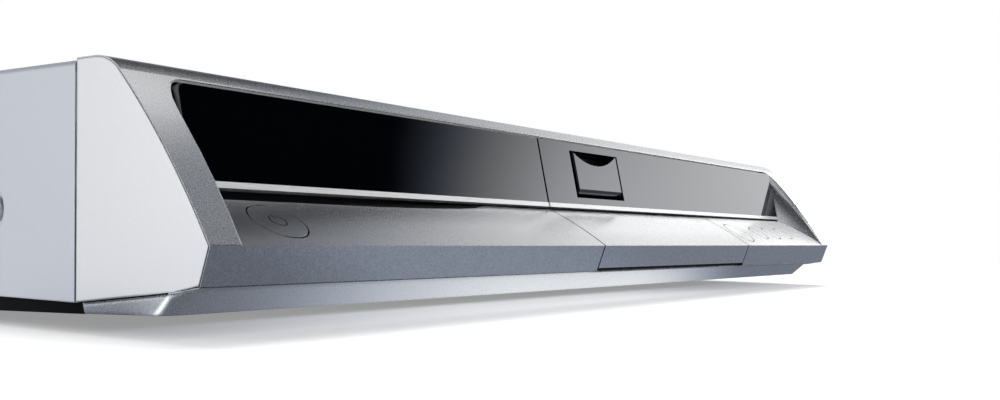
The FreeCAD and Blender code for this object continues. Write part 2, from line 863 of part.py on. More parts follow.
def make_inner_panel():
    back = inner_y + inner_sheet
    plate = box(-room_half, room_half, inner_y, back, inner_foot_z, frame_roof_z)
    reach = tray_half + 2.0
    holes = [box(drive_x - reach, drive_x + reach, 30, 40, tray_mouth_z, tray_rim_z + 3.3)]
    low = card_slot_z - 3.0
    holes.append(box(-card_slot_half - 3.0, card_slot_half + 6.0, 30, 40, low, low + 9.5))
    holes.append(box(front_jack_xs[0] - 20.0, data_x + 42.0, 30, 40, -7.0, 9.0))
    plate = cut_all(plate, holes)
    ledges = []
    for x in ledge_xs:
        low = glass_foot_z + 6.0
        high = glass_top_z - 3.0
        inset = glass_out * glass_thickness
        corners = [vec(x, glass_y(z), z) - inset for z in (low, high)]
        corners += [vec(x, inner_y, high), vec(x, inner_y, low)]
        ledges.append(pull(corners, vec(ledge_width, 0, 0)))
    for side in (-1, 1):
        near = side * (room_half - inner_leg_inset)
        far = near + side * inner_leg_width
        foot = [(inner_y, skirt_floor(inner_y)), (back, skirt_floor(back))]
        foot += [(back, inner_foot_z), (inner_y, inner_foot_z)]
        ledges.append(prism(foot, min(near, far), max(near, far)))
    keep("inner_panel", join(plate, *ledges))


def make_display():
    keep("display_tube", box(52.0, 188.0, inner_y - 3.1, inner_y, strip_top_z + 2.4, glass_top_z - 2.6))


def make_card_socket():
    back = inner_y + inner_sheet
    middle = 1.5
    low = card_slot_z - 4.0
    body = box(-card_slot_half - 6.0, card_slot_half + 9.0, back, card_socket_back_y, low, low + 11.5)
    low = card_slot_z - 2.5
    nose = box(-card_slot_half - 2.0, card_slot_half + 5.0, card_socket_front_y, back, low, low + 8.0)
    slot = box(middle - card_slot_half, middle + card_slot_half, 30.0, card_socket_back_y - 1.5,
               card_slot_z, card_slot_z + card_slot_height)
    keep("card_socket", join(body, nose).cut(slot))


def jack_outlines(y0, y1):
    # outsides of the front sockets
    forms = [rody(y0 - 4.0, y1, x, front_jack_z, front_jack_r) for x in front_jack_xs]
    forms.append(rody(y0, y1, din_x, front_jack_z, din_r))
    forms.append(box(data_x - 4.0, data_x + 4.0, y0, y1, front_jack_z - 1.6, front_jack_z + 2.2))
    forms.append(box(usb_x - 6.6, usb_x + 6.6, y0, y1, front_jack_z - 2.6, front_jack_z + 2.8))
    return forms


def make_jacks():
    # sockets behind the flap, their panel and their board
    left = flap_left_x - flap_gap / 2
    right = flap_right_x + flap_gap / 2
    mouth = jack_panel_y - 2.5
    z = front_jack_z
    outlines = jack_outlines(mouth, jack_board_y + 0.1)
    back = jack_panel_y + jack_panel_sheet
    panel = box(left, right, jack_panel_y, back, jack_panel_foot_z, jack_panel_top_z)
    keep("jack_panel", cut_all(panel, outlines))
    inside = [rody(mouth - 5.0, 24.0, x, z, 1.6) for x in front_jack_xs]
    inside.append(rody(mouth - 1.0, 24.0, din_x, z, 3.6))
    inside.append(box(data_x - 3.2, data_x + 3.2, mouth - 1.0, 26.0, z - 1.0, z + 1.6))
    inside.append(box(usb_x - 6.0, usb_x + 6.0, mouth - 1.0, 27.0, z - 2.1, z + 2.3))
    tongues = [box(din_x - 1.2, din_x + 1.2, mouth + 1.5, 24.5, z - 1.6, z - 0.6)]
    tongues.append(box(data_x - 2.2, data_x + 2.2, mouth + 2.5, 26.5, z - 0.1, z + 0.7))
    tongues.append(box(usb_x - 5.2, usb_x + 5.2, mouth + 2.0, 27.5, z - 1.4, z + 0.2))
    board = box(din_x - 8.0, usb_x + 19.2, jack_board_y, jack_board_y + 1.5, z - 5.0, z + 9.2)
    body = cut_all(join(board, *outlines), inside)
    keep("front_jacks", join(body, *tongues))


def dish_tool(side, y, z, grow):
    # cone of a side screw dish, starting a little outside the cover
    over = 0.5
    depth = half_width - cover_sheet - base_half
    start = vec(side * (half_width + over), y, z)
    wide = screw_dish_r + over * (screw_dish_r - screw_dish_floor_r) / depth
    return Part.makeCone(wide + grow, screw_dish_floor_r + grow, depth + over + grow, start, vec(-side, 0, 0))


def cover_shell():
    wide = half_width - cover_sheet
    low_top = cover_top_z - cover_sheet
    outer = box(-half_width, half_width, cover_front_y, cover_back_y, cover_foot_z, cover_top_z)
    inner = box(-wide, wide, cover_front_y - 1, cover_back_y + 1, cover_foot_z - 1, low_top)

    def long_edges(solid, x, z):
        found = []
        for edge in solid.Edges:
            middle = edge.CenterOfMass
            if abs(abs(middle.x) - x) < 0.01 and abs(middle.z - z) < 0.01:
                found.append(edge)
        return found

    outer = outer.makeFillet(cover_bend_r, long_edges(outer, half_width, cover_top_z))
    inner = inner.makeFillet(cover_bend_r - cover_sheet, long_edges(inner, wide, low_top))
    # hem at the back that the rear screws go through
    hem = box(-wide, wide, cover_back_y - cover_sheet, cover_back_y, hem_foot_z, low_top - 0.5)
    inner_back = cover_back_y - cover_sheet
    roof_join = box(-wide + 2.0, wide - 2.0, inner_back, cover_back_y, low_top - 0.6, low_top + 0.1)
    return join(outer.cut(inner), hem, roof_join)


def make_cover():
    body = cover_shell()
    cups = []
    tools = []
    for side in (-1, 1):
        for y, z in side_screws:
            inside = box(-half_width, half_width, 0, 400, -50, 60)
            cups.append(dish_tool(side, y, z, cover_sheet).common(inside))
            tools.append(dish_tool(side, y, z, 0.0))
            tools.append(rodx(-4.5, 4.5, y, z, screw_hole_r).translated(vec(side * base_half, 0, 0)))
    body = join(body, *cups)
    tools += [rody(cover_back_y - 3, cover_back_y + 3, x, rear_screw_z, screw_hole_r) for x in rear_screw_xs]
    # the hem leaves room for the heads of the fan screws
    for x in (fan_x - fan_hole, fan_x + fan_hole):
        tools.append(rody(cover_back_y - 3, cover_back_y + 3, x, fan_z + fan_hole, screw_head_r + 1.0))
    # vent slots in the top and in the sides, towards the back
    for i in range(top_vent_count):
        x = top_vent_x + i * top_vent_pitch
        end = top_vent_y + top_vent_length
        tools.append(box(x, x + vent_width, top_vent_y, end, cover_top_z - 3, cover_top_z + 3))
    for i in range(side_vent_count):
        y = side_vent_y + i * side_vent_pitch
        for side in (-1, 1):
            slot = box(-2, 2, y, y + vent_width, side_vent_z, side_vent_z + side_vent_height)
            tools.append(slot.translated(vec(side * half_width, 0, 0)))
    keep("top_cover", cut_all(body, tools))


def screw_form(point, way, shank):
    # pan head screw with a cross recess
    head = Part.makeCylinder(screw_head_r, screw_head, point, way)
    crown = point + way * screw_head
    rim = [e for e in head.Edges if (e.CenterOfMass - crown).Length < 0.01 and e.Length > 15]
    head = head.makeFillet(0.7, rim)
    body = join(head, Part.makeCylinder(screw_r, shank, point, way * -1.0))
    place = FreeCAD.Placement(point + way * 0.6, FreeCAD.Rotation(vec(0, 0, 1), way))
    for turn in (0.0, 90.0):
        bar = Part.makeBox(4.0, 0.8, 1.2, vec(-2.0, -0.4, 0))
        bar.rotate(vec(0, 0, 0), vec(0, 0, 1), turn)
        bar.Placement = place.multiply(bar.Placement)
        body = body.cut(bar)
    return body


def make_screws():
    screws = []
    for side in (-1, 1):
        for y, z in side_screws:
            screws.append(screw_form(vec(side * (base_half + cover_sheet), y, z), vec(side, 0, 0), 6.0))
    screws += [screw_form(vec(x, cover_back_y, rear_screw_z), vec(0, 1, 0), 6.0) for x in rear_screw_xs]
    for dx in (-fan_hole, fan_hole):
        for dz in (-fan_hole, fan_hole):
            screws.append(screw_form(vec(fan_x + dx, rear_face_y, fan_z + dz), vec(0, 1, 0), 12.0))
    screws += [screw_form(vec(x, y, board_top), vec(0, 0, 1), 5.0) for x, y in stand_places]
    keep("screws", *screws)


def make_base():
    low = [(base_front_y, base_front_z), (base_ramp_y, base_z), (rear_plate_y, base_z)]
    floor = low + [(rear_plate_y, base_floor_z), (base_ramp_y, base_floor_z)]
    floor.append((base_front_y, base_front_z + base_sheet))
    wall = low + [(rear_plate_y, base_flange_z), (base_front_y, base_flange_z)]
    pieces = []
    for side in (-1, 1):
        x0 = -base_half if side < 0 else base_half - base_sheet
        pieces.append(prism(wall, x0, x0 + base_sheet))
        for y, z in side_screws:
            pieces.append(box(x0, x0 + base_sheet, y - 8, y + 8, 0.0, z + 6.1))
    back = base_front_y + base_sheet
    front = box(-base_half, base_half, base_front_y, back, base_front_z + 0.5, base_front_lip_z)
    pieces.append(front)
    pieces.append(box(-base_half, base_half, rear_plate_y - base_sheet, rear_plate_y, base_z, base_back_lip_z))
    # tabs that the front sits on
    back = base_front_y + base_sheet
    tab = [(tab_front_y, skirt_floor(tab_front_y)), (back, skirt_floor(back))]
    tab.append((back, skirt_floor(back) + base_sheet))
    tab.append((tab_front_y, skirt_floor(tab_front_y) + base_sheet))
    pieces += [prism(tab, x - tab_half, x + tab_half) for x in tab_xs]
    pieces += [rodz(base_z + 0.5, board_z, x, y, stand_r) for x, y in stand_places]
    body = join(prism(floor, -base_half, base_half), *pieces)
    tools = [rodz(board_z - 7.0, board_z + 1, x, y, screw_r) for x, y in stand_places]
    for side in (-1, 1):
        tools += [rodx(-3, 3, y, z, screw_r).translated(vec(side * base_half, 0, 0)) for y, z in side_screws]
    for x0 in base_vent_xs:
        for i in range(base_vent_count):
            y = base_vent_y + i * base_vent_pitch
            tools.append(box(x0, x0 + 60.0, y, y + vent_width, base_z - 2, base_z + 3))
    keep("base_pan", cut_all(body, tools))


def fan_grille():
    # two rings and two crossed bars over the fan
    back = rear_face_y
    bars = []
    for r0, r1 in ((6.0, 8.0), (13.0, 15.0)):
        ring = rody(rear_plate_y, back, fan_x, fan_z, r1)
        bars.append(ring.cut(rody(rear_plate_y - 1, back + 1, fan_x, fan_z, r0)))
    for turn in (45.0, 135.0):
        bar = box(-fan_half + 2.0, fan_half - 2.0, rear_plate_y, back, -1.2, 1.2)
        bar.rotate(vec(0, 0, 0), vec(0, 1, 0), turn)
        bar.translate(vec(fan_x, 0, fan_z))
        bars.append(bar)
    return bars


def through(x0, x1, z0, z1):
    # square hole through the rear plate
    return box(x0, x1, rear_plate_y - 6, rear_plate_y + 8, z0, z1)


def make_rear_plate():
    y0 = rear_plate_y - 6
    y1 = rear_plate_y + 8
    plate = box(-base_half, base_half, rear_plate_y, rear_face_y, base_z, cover_top_z - cover_sheet - 0.2)
    plate = plate.cut(rody(y0, y1, fan_x, fan_z, fan_half - 2.5))
    plate = join(plate, *fan_grille())
    holes = [through(inlet_x - 9.9, inlet_x + 9.9, inlet_z - 5.4, inlet_z + 5.4)]
    for z in wide_zs:
        low = z - wide_height / 2
        holes.append(through(wide_x - wide_half, wide_x + wide_half, low, low + wide_height))
    holes += [rody(y0, y1, x, z, jack_r) for x, z in jack_places]
    holes.append(through(slim_x - 7.5, slim_x + 7.5, -4.6, 0.6))
    holes.append(through(net_x - 7.8, net_x + 7.8, 5.2, 18.8))
    holes += [rody(y0, y1, tuner_x, z, 5.0) for z in tuner_zs]
    holes += [rody(y0, y1, x, rear_screw_z, screw_r) for x in rear_screw_xs]
    for dx in (-fan_hole, fan_hole):
        holes += [rody(y0, y1, fan_x + dx, fan_z + dz, screw_r) for dz in (-fan_hole, fan_hole)]
    keep("rear_plate", cut_all(plate, holes))


def make_feet():
    feet = []
    top = foot_bottom_z + pad_height
    for x, y in foot_places:
        foot = Part.makeCone(foot_r - 1.0, foot_r, base_z - top, vec(x, y, top), vec(0, 0, 1))
        feet.append(join(foot, rodz(foot_bottom_z, top + 0.2, x, y, pad_r)))
    keep("feet", *feet)


def side_block(side, near, far, y0, y1, z0, z1):
    # block between two distances from the drive's middle, on one side
    a = drive_x + side * near
    b = drive_x + side * far
    return box(min(a, b), max(a, b), y0, y1, z0, z1)


def make_drive_case():
    x0 = drive_x - drive_half
    x1 = drive_x + drive_half
    wall = drive_wall
    front = drive_front_y
    floor_top = drive_floor_z + wall
    body = box(x0, x1, front, drive_back_y, drive_floor_z, drive_rim_z)
    body = body.cut(box(x0 + wall, x1 - wall, front + wall, drive_back_y - wall, floor_top, drive_rim_z + 1))
    body = body.cut(box(x0 + wall, x1 - wall, front - 1, front + wall + 1, tray_mouth_z, drive_rim_z + 1))
    pieces = []
    inner = drive_half - wall
    under = tray_foot_z - run_clearance
    over = tray_rim_z + slide_clearance
    for side in (-1, 1):
        # guides beside, under and over the tray's edges
        near = tray_half + slide_clearance
        pieces.append(side_block(side, near, inner, front + wall, guide_back_y, 17.4, over + guide_height))
        pieces.append(side_block(side, tray_half - 3.0, inner, front + wall, guide_back_y, 17.4, under))
        top = over + guide_height
        pieces.append(side_block(side, tray_half - 1.2, inner, front + 8.0, guide_back_y, over, top))
        # posts of the bridge over the tray
        top = bridge_z + bridge_sheet
        pieces.append(side_block(side, tray_half + 2.0, inner, disc_y - 12.0, disc_y + 12.0, over, top))
        # legs down to the base
        for y in (front + 54.0, drive_back_y - 20.0):
            pieces.append(side_block(side, 61.0, 71.0, y - 6.0, y + 6.0, base_floor_z, drive_floor_z + 0.5))
    pieces.append(rodz(floor_top - 1.0, tray_foot_z - 0.6, gear_x, gear_y, gear_post_r))
    pieces.append(rodz(floor_top - 1.0, 12.6 - run_clearance, gear_x, gear_y, gear_post_r + 1.5))
    top = bridge_z + bridge_sheet
    arm = box(drive_x - inner, drive_x + inner, disc_y - 12.0, disc_y + 12.0, bridge_z, top)
    pieces.append(arm.cut(rodz(bridge_z - 1, bridge_z + 3, drive_x, disc_y, clamp_neck_r + slide_clearance)))
    body = join(body, *pieces)
    keep("drive_case", body.cut(rodz(drive_floor_z - 1, floor_top + 1, drive_x, 150.0, 14.0)))


def make_drive_lid():
    x0 = drive_x - drive_half
    x1 = drive_x + drive_half
    back = drive_back_y + lid_sheet
    lid = box(x0 - lid_sheet, x1 + lid_sheet, drive_front_y + 0.2, back, drive_rim_z, drive_lid_z)
    room = box(x0, x1, drive_front_y - 1, drive_back_y, drive_rim_z - 1, drive_lid_z - lid_sheet)
    skirt_l = box(x0 - lid_sheet, x0, 60.0, 200.0, 12.0, drive_rim_z + 1.0)
    skirt_r = box(x1, x1 + lid_sheet, 60.0, 200.0, 12.0, drive_rim_z + 1.0)
    lid = join(lid.cut(room), skirt_l, skirt_r)
    keep("drive_lid", lid.cut(rodz(drive_lid_z - 2, drive_lid_z + 1, drive_x, disc_y, 11.0)))


def tooth_points(count, pitch, y0):
    # outline of the rack's toothed side, teeth towards +x
    tip = rack_x - tooth_play + 0.05
    root = tip - 0.9
    points = []
    for i in range(count):
        for share, x in ((0.0, root), (0.22, tip), (0.5, tip), (0.72, root)):
            points.append((x, y0 + (i + share) * pitch))
    points.append((root, y0 + count * pitch))
    return points


def make_tray():
    x0 = drive_x - tray_half
    x1 = drive_x + tray_half
    plate = box(x0, x1, tray_wall_y - 0.2, tray_back_y, tray_foot_z, tray_rim_z)
    tools = [rodz(tray_well_z, tray_rim_z + 1, drive_x, disc_y, disc_well_r)]
    tools.append(rodz(tray_well_z - 0.7, tray_rim_z + 1, drive_x, disc_y, small_well_r))
    left = drive_x - tray_slot_half
    right = drive_x + tray_slot_half
    tools.append(box(left, right, disc_y, tray_back_y + 1, tray_foot_z - 1, tray_rim_z + 1))
    tools.append(rodz(tray_foot_z - 1, tray_rim_z + 1, drive_x, disc_y, tray_slot_half))
    plate = cut_all(plate, tools)
    corners = []
    for z in (tray_wall_foot_z, tray_wall_top_z):
        point = vec(0, glass_y(z), z) - glass_out * glass_thickness
        corners.append((point.y, point.z))
    corners += [(tray_wall_y, tray_wall_top_z), (tray_wall_y, tray_wall_foot_z)]
    front = prism(corners, x0 - 5.0, x1 + 5.0)
    pitch = 2 * math.pi * tray_gear_r / tray_gear_teeth
    count = int((tray_back_y - gear_y) / pitch)
    teeth = tooth_points(count, pitch, gear_y)
    back = rack_x - rack_width
    outline = teeth + [(back, teeth[-1][1]), (back, teeth[0][1])]
    rack = plan(outline, rack_foot_z, tray_foot_z + 0.2)
    keep("disc_tray", join(plate, front, rack))


def make_turntable():
    disc = rodz(turntable_z - 2.4, turntable_z, drive_x, disc_y, turntable_r)
    cone = Part.makeCone(7.4, 6.0, 2.6, vec(drive_x, disc_y, turntable_z), vec(0, 0, 1))
    shaft = rodz(sub_plate_z + sub_plate_sheet + 1.02, turntable_z - 2.4, drive_x, disc_y, spindle_r)
    keep("turntable", join(disc, cone, shaft))


def make_sub_plate():
    low = sub_plate_z
    top = sub_plate_z + sub_plate_sheet
    plate = box(drive_x - 42.0, drive_x + 44.0, 84.0, 210.0, low, top)
    blocks = []
    for y in (92.0, 200.0):
        for x in (drive_x - rail_x, drive_x + rail_x, drive_x + screw_x):
            blocks.append(box(x - 3.2, x + 3.2, y - 3, y + 3, low, rail_z + 3.0))
        for x in (drive_x - 38.0, drive_x + 40.0):
            blocks.append(rodz(drive_floor_z + drive_wall, low + 0.5, x, min(y, 198.0), 3.0))
    blocks += [rody(90.0, 202.0, drive_x + side * rail_x, rail_z, rail_r) for side in (-1, 1)]
    body = join(plate, *blocks)
    tools = [box(drive_x - 19.0, drive_x + 19.0, 122.0, 196.0, low - 1, top + 1)]
    tools.append(rody(88.0, 204.0, drive_x + screw_x, rail_z, rail_r + run_clearance))
    tools.append(box(drive_x + screw_x - 7.0, drive_x + screw_x + 11.0, 203.0, 213.0, low - 1, top + 1))
    keep("sub_plate", cut_all(body, tools))


def make_sled():
    y0 = sled_front_y
    y1 = y0 + sled_length
    bore = rail_r + run_clearance
    bores = [rody(y0 - 1, y1 + 1, drive_x + side * rail_x, rail_z, bore) for side in (-1, 1)]
    body = cut_all(box(drive_x - 28.5, drive_x + 28.5, y0, y1, rail_z - 2.6, rail_z + 4.0), bores)
    lens = rodz(rail_z + 3.5, rail_z + 6.8, drive_x, y0 + 9.0, 4.0)
    ring = rodz(rail_z + 3.5, rail_z + 5.4, drive_x, y0 + 9.0, 8.0)
    low = rail_z + rail_r + 0.3
    arm = box(drive_x + 28.0, drive_x + screw_x + 3.0, y0 + 6.0, y0 + 14.0, low, rail_z + 4.0)
    keep("laser_sled", join(body, ring, lens, arm))


def make_lead_screw():
    x = drive_x + screw_x
    screw = rody(88.8, 208.0, x, rail_z, rail_r)
    rings = []
    for i in range(thread_turns):
        y = 98.0 + i * thread_pitch
        ring = rody(y, y + 0.7, x, rail_z, rail_r + 1)
        rings.append(ring.cut(rody(y - 1, y + 2, x, rail_z, rail_r - 0.3)))
    keep("lead_screw", cut_all(screw, rings))


def make_drive_motors():
    top = sub_plate_z + sub_plate_sheet
    x = drive_x + screw_x
    sled_motor = rody(203.0, 211.6, x, rail_z, sled_motor_r)
    sled_motor = sled_motor.cut(rody(202.0, 208.6, x, rail_z, rail_r + run_clearance))
    spindle_motor = rodz(top, top + 8.6, drive_x, disc_y, 12.5)
    spindle_motor = spindle_motor.cut(rodz(top + 1.0, top + 10.0, drive_x, disc_y, spindle_r + run_clearance))
    loading_motor = rodz(drive_floor_z + drive_wall, 12.2, pinion_x, gear_y, 8.0)
    loading_motor = loading_motor.cut(rodz(9.0, 14.0, pinion_x, gear_y, 1.0 + run_clearance))
    keep("drive_motors", sled_motor, spindle_motor, loading_motor)


def gear_form(x, y, z0, z1, r, teeth, bore):
    # flat gear whose tooth tips stop short of the pitch circle, so that the pair runs free
    tip = r - tooth_play
    root = tip - 0.8
    points = []
    for i in range(teeth):
        for share, radius in ((0.0, root), (0.22, tip), (0.5, tip), (0.72, root)):
            a = 2 * math.pi * (i + share) / teeth
            points.append((x + radius * math.cos(a), y + radius * math.sin(a)))
    gear = plan(points, z0, z1)
    if bore > 0:
        gear = gear.cut(rodz(z0 - 1, z1 + 1, x, y, bore))
    return gear


def make_loading_gears():
    bore = gear_post_r + run_clearance
    keep("tray_gear", gear_form(gear_x, gear_y, 12.6, tray_foot_z - 0.4, tray_gear_r, tray_gear_teeth, bore))
    pinion = gear_form(pinion_x, gear_y, 12.6, 16.4, pinion_r, pinion_teeth, 0.0)
    keep("motor_pinion", join(pinion, rodz(9.2, 13.0, pinion_x, gear_y, 1.0)))


def make_clamp():
    top = bridge_z + bridge_sheet + run_clearance
    disc = rodz(bridge_z - 2.6, bridge_z - 0.4, drive_x, disc_y, clamp_r)
    neck = rodz(bridge_z - 0.5, top + 0.2, drive_x, disc_y, clamp_neck_r)
    flange = rodz(top, top + 1.2, drive_x, disc_y, clamp_neck_r + 3.0)
    keep("clamp_disc", join(disc, neck, flange))


def swung(solid, turn, x, y):
    solid.rotate(vec(0, 0, 0), vec(0, 0, 1), turn)
    solid.translate(vec(x, y, 0))
    return solid


def make_hard_disk():
    x0 = disk_x0
    x1 = disk_x1
    floor = disk_z0 + disk_floor
    rim = disk_z1 - disk_lid_sheet
    hub_x = (x0 + x1) / 2
    hub_y = disk_y0 + 55.0
    arm_x = x0 + 24.0
    arm_y = hub_y + 58.0
    body = box(x0, x1, disk_y0, disk_y1, disk_z0, rim)
    tools = [rodz(floor, disk_z1, hub_x, hub_y, platter_r + 1.3)]
    tools.append(box(x0 + 4.0, x1 - 4.0, hub_y + 30.0, disk_y1 - 4.0, floor, disk_z1))
    for x in (x0, x1):
        tools += [rodx(x - 3.0, x + 3.0, y, disk_z0 + 6.0, 1.5) for y in (disk_y0 + 30.0, disk_y0 + 117.0)]
    body = cut_all(body, tools)
    pieces = [rodz(floor - 1.0, floor + 1.2, hub_x, hub_y, 9.0)]
    pieces.append(rodz(floor - 1.0, rim - 1.0, hub_x, hub_y, disk_axle_r))
    pieces.append(rodz(floor - 1.0, floor + 1.2, arm_x, arm_y, disk_axle_r + 2.0))
    pieces.append(rodz(floor - 1.0, rim - 1.0, arm_x, arm_y, disk_axle_r))
    keep("disk_case", join(body, *pieces))
    keep("disk_lid", box(x0 + 0.5, x1 - 0.5, disk_y0 + 0.5, disk_y1 - 0.5, rim, disk_z1))
    seat = floor + 1.2 + run_clearance
    bore = disk_axle_r + run_clearance
    stack = join(rodz(seat, rim - 1.6, hub_x, hub_y, 12.5),
                 rodz(floor + 3.0, floor + 4.3, hub_x, hub_y, platter_r),
                 rodz(floor + 8.5, floor + 9.8, hub_x, hub_y, platter_r))
    keep("disk_platters", stack.cut(rodz(floor - 2, disk_z1, hub_x, hub_y, bore)))
    turn = math.degrees(math.atan2(arm_x - hub_x + 16.0, hub_y + 30.0 - arm_y))
    arm = swung(box(-3.0, 3.0, 0.0, 40.0, floor + 5.6, floor + 7.2), turn, arm_x, arm_y)
    coil = swung(box(-9.0, 9.0, -20.0, 0.0, floor + 5.0, floor + 7.6), turn, arm_x, arm_y)
    actuator = join(rodz(seat, rim - 1.6, arm_x, arm_y, 7.0), arm, coil)
    keep("disk_arm", actuator.cut(rodz(floor - 2, disk_z1, arm_x, arm_y, bore)))
    rails = []
    for side, edge in ((-1, x0), (1, x1)):
        xs = sorted((edge, edge + side * bracket_sheet))
        wall = box(xs[0], xs[1], disk_y0 + 20.0, disk_y1 - 10.0, base_floor_z, disk_z0 + 10.0)
        xs = sorted((edge, edge + side * (bracket_sheet + 6.0)))
        foot = box(xs[0], xs[1], disk_y0 + 20.0, disk_y1 - 10.0, base_floor_z, base_floor_z + 1.6)
        rails.append(join(wall, foot))
    keep("disk_bracket", *rails)


def drilled_board(x0, x1, y0, y1):
    board = box(x0, x1, y0, y1, board_z, board_top)
    return cut_all(board, [rodz(board_z - 1, board_z + 3, x, y, screw_r + 0.1) for x, y in stand_places])


def on_board(x, y, wide, deep, high, low=0.0):
    # block standing on the boards
    return box(x, x + wide, y, y + deep, board_top + low, board_top + high)


def on_main(x):
    # place across the main board, which narrows or widens with the case
    return main_x0 + x * (main_x1 - main_x0) / main_width


def make_main_board():
    keep("main_board", drilled_board(main_x0, main_x1, main_y0, main_y1))
    chips = [on_board(on_main(46.0), 150.0, 32.0, 32.0, 2.4)]
    chips.append(on_board(on_main(94.0), 150.0, 22.0, 22.0, 2.0))
    chips.append(on_board(on_main(12.0), 200.0, 20.0, 14.0, 1.6))
    chips.append(on_board(on_main(76.0), 220.0, 22.0, 22.0, 2.0))
    chips += [on_board(on_main(12.0 + 26.0 * i), 104.0, 12.0, 22.0, 1.2) for i in range(4)]
    plugs = [on_board(on_main(10.0), 74.0, 26.0, 6.0, 7.0), on_board(on_main(50.0), 74.0, 20.0, 6.0, 7.0)]
    plugs += [on_board(on_main(90.0), 74.0, 30.0, 6.0, 7.0), on_board(on_main(124.0), 100.0, 6.0, 40.0, 7.0)]
    plugs.append(on_board(on_main(2.0), 228.0, 6.0, 36.0, 7.0))
    keep("board_parts", *chips, *plugs)


def make_heat_sinks():
    left = on_main(46.0) + 1.0
    base = on_board(left, 151.0, 30.0, 30.0, 5.0, 2.4)
    fins = [on_board(left + 0.5 + 4.2 * i, 151.0, 1.2, 30.0, 16.0, 4.9) for i in range(7)]
    plate = on_board(power_x0 + 55.0, 252.0, 1.6, 44.0, 28.0)
    ribs = [on_board(power_x0 + 56.5, 254.0 + 8.0 * i, 6.5, 1.2, 28.0) for i in range(6)]
    keep("heat_sinks", join(base, *fins), join(plate, *ribs))


def make_capacitors():
    # places and sizes of the upright cans: x, y, radius, height
    small = [(26, 150), (26, 164), (106, 200), (118, 200), (106, 214)]
    small += [(16, 230), (16, 250), (120, 250), (120, 266)]
    places = [(on_main(x), y, 4.0, 9.0) for x, y in small]
    places += [(power_x0 + 39.0, 256.0, 11.0, 30.0), (power_x0 + 48.0, 236.0, 6.0, 20.0)]
    places += [(power_x0 + x, y, 5.0, 18.0) for x, y in ((125, 240), (125, 253), (111, 236), (97, 298))]
    keep("capacitors", *[rodz(board_top, board_top + high, x, y, r) for x, y, r, high in places])


def make_power_board():
    board = drilled_board(power_x0, power_x1, power_y0, power_y1)
    keep("power_board", board)
    left = power_x0 + 69.0
    core = on_board(left, 250.0, 34.0, 34.0, 26.0).cut(on_board(left - 1.0, 256.0, 36.0, 22.0, 21.0, 6.0))
    core = join(core, on_board(left + 11.0, 255.0, 12.0, 24.0, 22.0, 5.0))
    coil = on_board(left + 1.0, 256.0, 32.0, 22.0, 21.0, 6.0)
    coil = coil.cut(on_board(left + 11.0, 250.0, 12.0, 34.0, 30.0))
    keep("transformer", core, coil)


def make_mains_inlet():
    x = inlet_x
    z = inlet_z
    body = box(x - 9.9, x + 9.9, power_y1 + 0.3, rear_face_y + 4.5, z - 5.4, z + 5.4)
    body = join(body, box(x - 13.0, x + 13.0, rear_face_y, rear_face_y + 2.0, z - 7.5, z + 7.5))
    half = 4.2
    front = power_y1 + 2.5
    ends = [rody(front, rear_face_y + 7.0, x + side * half, z, 3.9) for side in (-1, 1)]
    slot = join(ends[0], ends[1], box(x - half, x + half, front, rear_face_y + 7.0, z - 2.9, z + 2.9))
    pins = [rody(front - 1.0, rear_face_y + 1.5, x + side * (half + 0.1), z, 1.2) for side in (-1, 1)]
    keep("mains_inlet", join(body.cut(slot), *pins))


def make_rear_sockets():
    reach = rear_plate_y + socket_reach
    x0 = wide_x - wide_half
    x1 = wide_x + wide_half
    half = wide_height / 2
    sockets = []
    for z in wide_zs:
        shell = box(x0, x1, power_y1, reach, z - half, z + half)
        room = box(x0 + 1.3, x1 - 1.3, power_y1 + 6.0, reach + 1, z - half + 1.3, z + half - 1.3)
        tongue = box(x0 + 4.5, x1 - 4.5, power_y1 + 5.5, reach - 2.0, z - 2.0, z + 2.0)
        sockets.append(join(shell.cut(room), tongue))
    end = rear_face_y + 2.5
    slim = box(slim_x - 7.5, slim_x + 7.5, 306.0, end, -4.6, 0.6)
    slim = slim.cut(box(slim_x - 6.8, slim_x + 6.8, 315.0, end + 1, -3.9, -0.1))
    slim = join(slim, box(slim_x - 5.4, slim_x + 5.4, 314.0, end - 2.0, -2.6, -1.4),
                box(slim_x - 6.0, slim_x + 6.0, 306.0, 315.0, board_top, -4.5))
    net = box(net_x - 7.8, net_x + 7.8, 306.0, end, 5.2, 18.8)
    net = net.cut(box(net_x - 6.1, net_x + 6.1, 312.0, end + 1, 6.8, 16.0))
    net = join(net, box(net_x - 6.0, net_x + 6.0, 306.0, 312.0, 0.6, 5.3))
    keep("rear_sockets", slim, net, *sockets)


def make_rear_jacks():
    reach = rear_plate_y + socket_reach
    blocks = []
    for i in range(jack_columns):
        x = jack_x + jack_pitch * i
        barrels = [rody(311.5, reach, x, z, jack_r) for z in jack_zs]
        block = join(box(x - 7.0, x + 7.0, 296.0, 312.0, board_top, jack_zs[1] + 6.0), *barrels)
        blocks.append(cut_all(block, [rody(reach - 10.0, reach + 1.0, x, z, 1.6) for z in jack_zs]))
    keep("rear_jacks", *blocks)


def make_tuner():
    reach = rear_plate_y + socket_reach
    x0 = tuner_x - tuner_half
    x1 = tuner_x + tuner_half
    can = box(x0, x1, 262.0, 316.0, board_top, 30.0)
    can = can.cut(box(x0 + 0.6, x1 - 0.6, 262.6, 315.4, board_top - 1.0, 29.4))
    ends = []
    for z in tuner_zs:
        sleeve = rody(315.8, reach, tuner_x, z, 5.0).cut(rody(reach - 10.0, reach + 1.0, tuner_x, z, 3.4))
        ends.append(join(sleeve, rody(reach - 11.0, reach - 1.0, tuner_x, z, 1.0)))
    keep("tuner_can", join(can, *ends))


